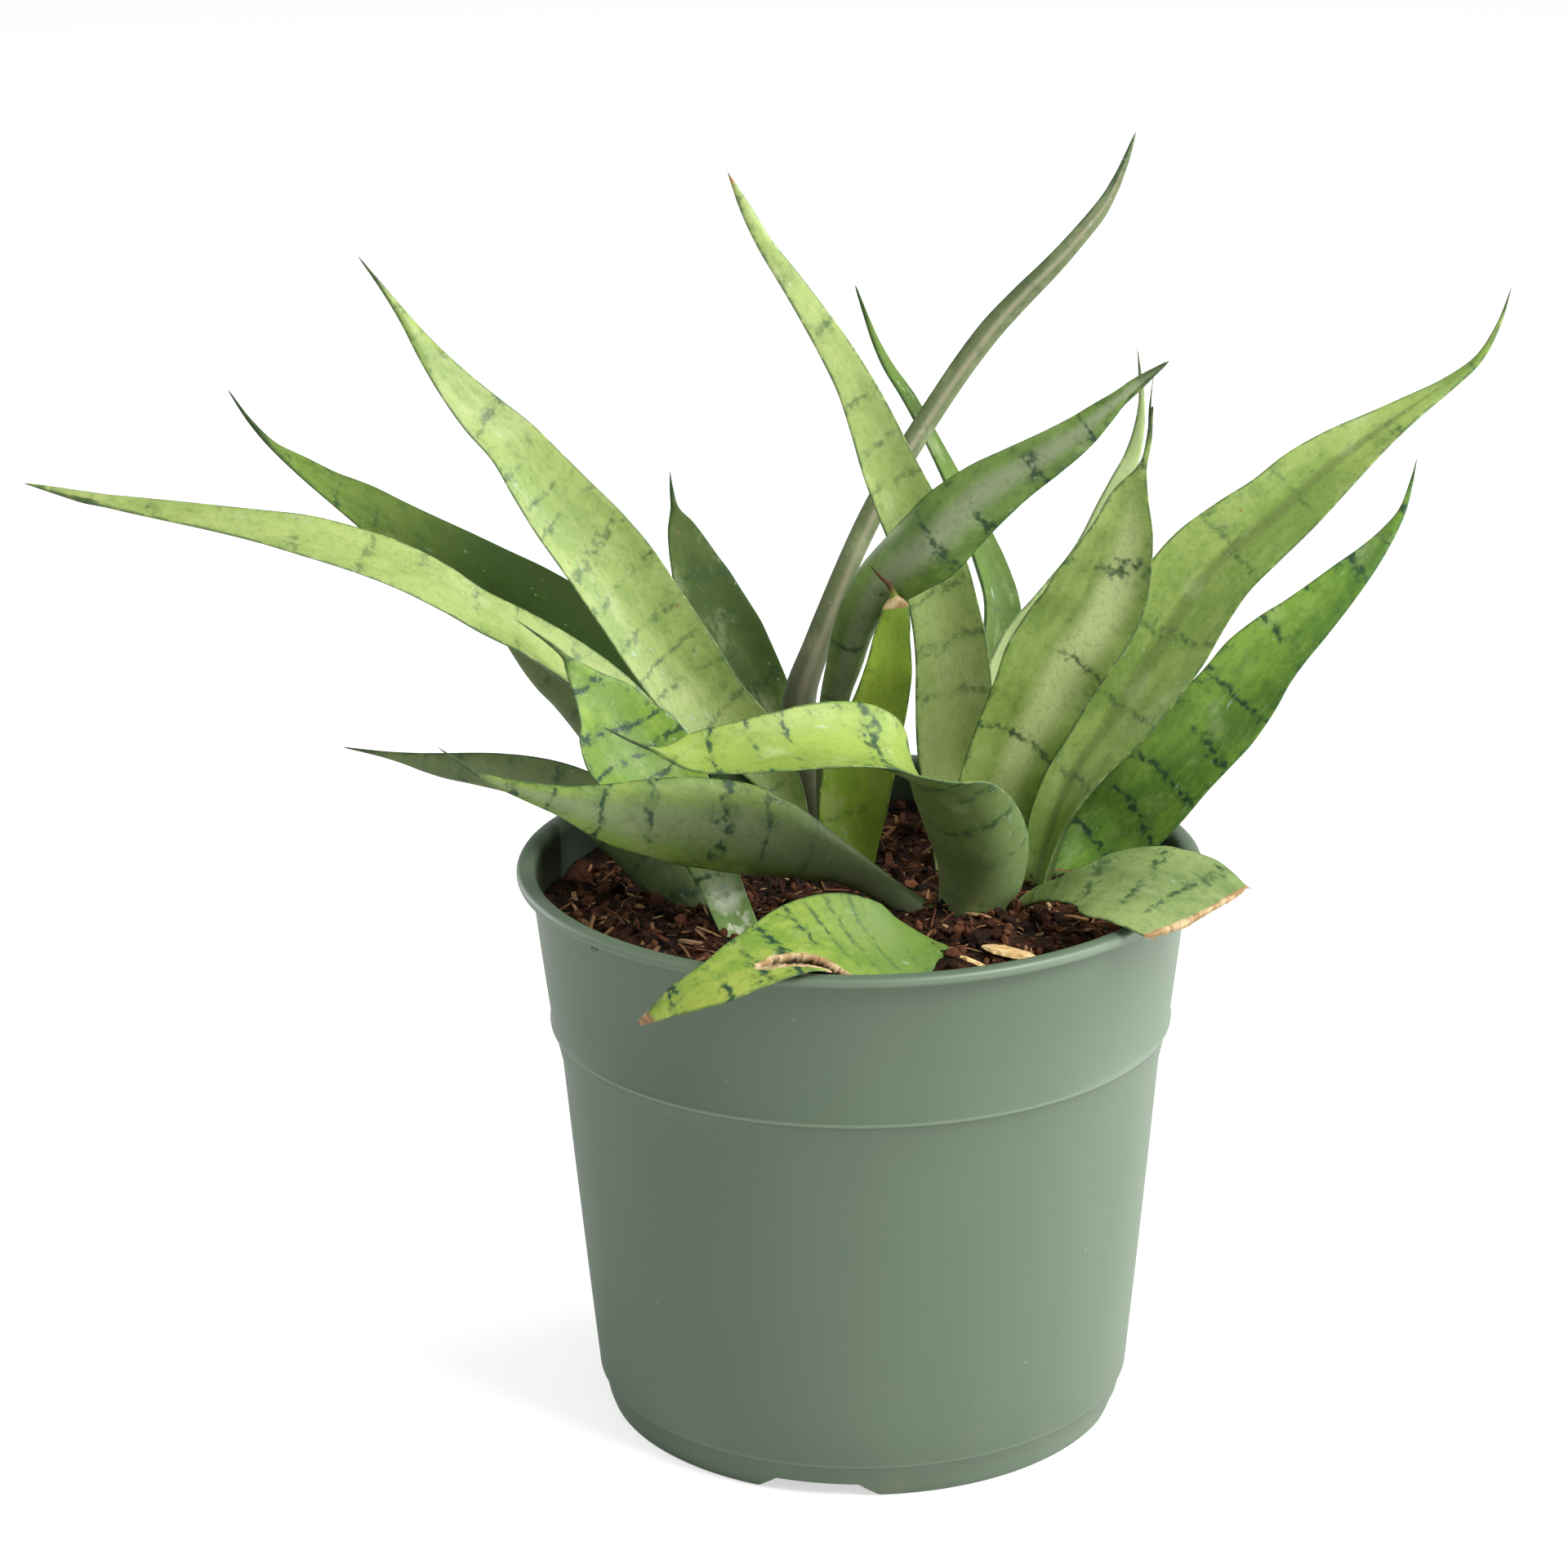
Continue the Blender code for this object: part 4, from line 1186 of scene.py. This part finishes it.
    vectorAttribute(piece, "share", np.concatenate([share, shareLow]))
    reach = np.stack([margin, toTip, np.maximum(distance.reshape(-1), 0)], axis=-1)
    vectorAttribute(piece, "reach", np.concatenate([reach, reach]))
    floatAttribute(piece, "torn", np.concatenate([torn.reshape(-1), torn.reshape(-1)]))
    shape = bmesh.new()
    shape.from_mesh(piece.data)
    loose = [vertex for vertex in shape.verts if not vertex.link_faces]
    bmesh.ops.delete(shape, geom=loose, context="VERTS")
    bmesh.ops.recalc_face_normals(shape, faces=shape.faces)
    shape.to_mesh(piece.data)
    shape.free()
    if name == "leaf_cut":
        addFibres(middle[-1], unit(middle[-1] - middle[-2]), piece.data.materials[0])
    return piece


# Which cells of the blade are torn out, and how torn the skin is at each point, from 1 at the tear to 0.
def tornPlaces(look, along, across, length, half, places):
    count, wide = len(along), len(across)
    gone = np.zeros((count - 1, wide - 1), dtype=bool)
    torn = np.zeros((count, wide))
    toTip = length - places
    if "endTorn" in look:
        torn += np.clip(1.2 - toTip / (look["endTorn"] * mm), 0, 1)[:, None]
    if "tornTo" in look:
        low, high = look["tornFrom"] * mm, look["tornTo"] * mm
        torn += (np.clip((toTip - low) / mm + 1, 0, 1) * np.clip((high - toTip) / mm, 0, 1))[:, None]
    if "hole" not in look:
        return gone, torn
    outline = np.array(look["hole"])
    following = np.roll(outline, -1, axis=0)
    for row in range(count):
        for column in range(wide):
            u = along[row] + 0.006 * noise.noise(Vector((row * 0.9, column * 0.9, 2.0)))
            s = across[column] + 0.05 * noise.noise(Vector((row * 0.9, column * 0.9, 5.0)))
            crossed = 0
            nearest = 1.0
            for (u0, s0), (u1, s1) in zip(outline, following):
                if (s0 > s) != (s1 > s) and u < (u1 - u0) * (s - s0) / (s1 - s0) + u0:
                    crossed += 1
                step = np.array([(u1 - u0) * length, (s1 - s0) * half[row]])
                away = np.array([(u - u0) * length, (s - s0) * half[row]])
                share = np.clip(away @ step / max(step @ step, 1e-12), 0, 1)
                nearest = min(nearest, float(np.linalg.norm(away - share * step)))
            torn[row, column] = max(0.0, 1.0 - nearest / (2.6 * mm))
            if crossed % 2 and row < count - 1 and column < wide - 1:
                gone[row, column] = True
    return gone, torn


# short stiff fibres along a cut end
def addFibres(line, outward, material):
    points = []
    faces = []
    for _ in range(46):
        at = dice.uniform(0, len(line) - 1.001)
        index = int(at)
        start = line[index] * (1 - at + index) + line[index + 1] * (at - index)
        sideways = unit(line[index + 1] - line[index])
        reach = dice.uniform(0.3, 1.7) * mm * (1.8 if at < 1.2 or at > len(line) - 2.2 else 1.0)
        end = start + outward[index] * reach + sideways * dice.uniform(-0.8, 0.8) * mm
        end = end + np.array([0.0, 0.0, dice.uniform(-0.8, 0.4) * mm])
        thick = dice.uniform(0.07, 0.16) * mm
        first = len(points)
        for spot, size in ((start - outward[index] * 0.6 * mm, thick), (end, thick * 0.4)):
            for turn in range(3):
                angle = turn * 2 * math.pi / 3
                upward = np.array([0, 0, size * math.sin(angle)])
                points.append(spot + sideways * size * math.cos(angle) + upward)
        faces += tubeFaces(2, 3, first)
    fibres = addPiece("leaf_cut_fibres", points, faces, material, slotOf("leaf_cut"), smooth=False)
    floatAttribute(fibres, "torn", np.full(len(points), 1.0))


def slotOf(node):
    for part in frame["record"]["subparts"]:
        if part["node"] == node:
            return part["material_slot"]
    return None


def leafMaterial(name, look):
    material, tree = newMaterial(name + "_skin")
    place = attribute(tree, "place")
    x, y, seed = separate(tree, place)
    s, _, side = separate(tree, attribute(tree, "share"))
    margin, toTip, fromRoot = separate(tree, attribute(tree, "reach"))

    # noise laid over the blade, with its scales across and along
    def over(acrossScale, alongScale, detail, rough):
        return noiseAt(tree, scaled(tree, place, (acrossScale, alongScale, 9.0)), 1.0, detail, rough)

    cloud = over(70.0, 34.0, 3.0, 0.55)
    mottle = over(300.0, 210.0, 4.0, 0.62)
    streak = over(330.0, 24.0, 3.0, 0.55)
    fine = over(1500.0, 1200.0, 3.0, 0.65)
    depth = (cloud * 0.5 + mottle * 0.3 + streak * 0.2).step(0.40, 0.61) * look["mottle"]
    upper = mixColour(tree, depth, look["upper"], look["upperDeep"])
    if "crease" in look:
        fold = abs(s - look["creasePlace"]).step(look["creaseWidth"], look["creaseWidth"] * 0.15)
        upper = mixColour(tree, fold * look["creaseAmount"] * toTip.step(0.012, 0.05), upper, look["crease"])
    under = mixColour(tree, depth, look["under"], look["underDeep"])
    # pale stripe along the keel: partly the leaf's own pale midrib, partly a painted sheen where the rounded
    # back catches the light
    if "keel" in look:
        keelStripeAndSheen = abs(s + (cloud - 0.5) * 0.4).step(look["keelWidth"], look["keelWidth"] * 0.1)
        under = mixColour(tree, keelStripeAndSheen * look["keelAmount"], under, look["keel"])
    colour = mixColour(tree, side.step(0.4, 0.6), under, upper)
    # pale clouds
    pale = over(120.0, 70.0, 4.0, 0.6)
    colour = mixColour(tree, pale.step(0.54, 0.74) * 0.28, colour, green["pale"])
    # the root end takes its own colour: a paler or browner base on most leaves, and on leaf_back_left a
    # painted shadow, near black
    if "root" in look:
        full = look["rootLength"] * look.get("rootFull", 0.2) * mm
        rootTintAndShadow = (fromRoot + (cloud - 0.5) * 0.02).step(look["rootLength"] * mm, full)
        rootTintAndShadowColour = look["root"]
        if "rootEdge" in look:
            # the pale stalk gets a green foot, and greener sides that are partly its own colour and partly
            # painted shade, so that the flat stalk looks round
            greenFootAndShadedSides = abs(s).step(0.45, 1.0) * 0.7 + fromRoot.step(0.009, 0.004) * mottle.step(0.4, 0.5)
            greenFootAndShadedSides = (greenFootAndShadedSides.clamped() + streak.step(0.5, 0.65) * 0.15).clamped()
            rootTintAndShadowColour = mixColour(tree, greenFootAndShadedSides, look["root"], look["rootEdge"])
        colour = mixColour(tree, rootTintAndShadow * look.get("rootAmount", 0.92), colour, rootTintAndShadowColour)
    # thin dotted cross bands, wavering along the blade, some of them doubled
    gap = look["gap"] * mm
    sway = over(16.0, 30.0, 2.0, 0.5)
    jitter = over(330.0, 260.0, 3.0, 0.6)
    phase = y / gap + (sway - 0.5) * min(3.0, 30 * mm / gap) + (jitter - 0.5) * (5.4 * mm / gap) + seed * 7.0
    line = abs(phase.fraction() - 0.5) * gap
    present = over(60.0, 58.0, 3.0, 0.6).step(0.40, 0.52)
    dots = over(560.0, 560.0, 1.5, 0.5)
    bands = line.step(1.25 * mm, 0.3 * mm) * present * dots.step(0.38, 0.54)
    halo = line.step(3.4 * mm, 0.6 * mm) * present * dots.step(0.50, 0.62) * mottle.step(0.42, 0.58)
    edgeSpots = margin.step(3.2 * mm, 0.4 * mm) * dots.step(0.50, 0.60) * mottle.step(0.50, 0.62)
    speckle = over(800.0, 620.0, 3.0, 0.6).step(0.50, 0.68)
    colour = mixColour(tree, speckle * 0.22 * look["mottle"], colour, green["margin"])
    strength = look["bands"]
    if "rootLength" in look:
        strength = (1.0 - rootTintAndShadow * 0.75) * strength
    spots = (halo * 0.75 + edgeSpots * 0.6 + line.step(2.2 * mm, 0.2 * mm) * present * 0.22) * strength
    colour = mixColour(tree, spots.clamped(), colour, green["margin"])
    colour = mixColour(tree, (bands * strength * 0.85).clamped(), colour, green["bandDark"])
    # hard-water specks, bluish scuffs and a few rusty dots
    grit = over(1100.0, 700.0, 1.0, 0.5)
    dusty = over(60.0, 60.0, 2.0, 0.5)
    specks = grit.step(0.72, 0.78) * dusty.step(0.44, 0.60)
    scuff = over(420.0, 130.0, 3.0, 0.6)
    scuff = scuff.step(0.64, 0.72) * dusty.step(0.50, 0.62)
    chalk = (specks * 0.5 + scuff * look.get("scuff", 0.35)).clamped()
    colour = mixColour(tree, chalk, colour, green["chalk"])
    rust = over(520.0, 430.0, 1.0, 0.5).step(0.775, 0.80)
    colour = mixColour(tree, rust * 0.6, colour, green["rust"])
    # dark rim and awl
    rim = margin.step(0.55 * mm, 0.15 * mm) * jitter.step(0.38, 0.52)
    colour = mixColour(tree, rim * 0.6 * fromRoot.step(0.004, 0.02), colour, green["margin"])
    awlLength = look.get("awl", 8.0) * mm
    if awlLength > 0:
        awl = (toTip + (mottle - 0.5) * 0.008).step(awlLength * 1.35, awlLength * 0.6)
        colour = mixColour(tree, awl * (0.6 + mottle.step(0.40, 0.55) * 0.35), colour, green["awl"])
    if "dryTip" in look:
        dried = (toTip + (mottle - 0.5) * 0.006).step(look["dryLength"] * mm, look["dryLength"] * mm * 0.7)
        withered = mixColour(tree, fine.step(0.4, 0.6) * 0.5, look["dryTip"], green["witheredDark"])
        colour = mixColour(tree, dried, colour, withered)
    # torn or cut fibre, where the blade is broken
    torn = attribute(tree, "torn", "Fac")
    fibre = mixColour(tree, mottle.step(0.42, 0.58), green["fibre"], green["dry"])
    fibre = mixColour(tree, (torn - 0.9).step(0.0, 0.1) * look.get("char", 0.0), fibre, green["charred"])
    colour = mixColour(tree, (torn + (jitter - 0.5) * 0.9).step(0.38, 0.55), colour, fibre)
    roughness = 0.44 + (mottle - 0.5) * 0.16 + specks * 0.2 + torn * 0.2
    ribs = over(1300.0, 26.0, 2.0, 0.5)
    height = ribs * 0.16 + mottle * 0.7 + fine * 0.2 + cloud * 1.2
    fixed = {"Specular IOR Level": look.get("shine", 0.38)}
    finishShader(tree, colour, roughness, height, 0.0002, 0.8, fixed)
    return material


for number, (name, look) in enumerate(leafLook.items()):
    makeLeaf(name, look, number + 1)
print("leaves done")
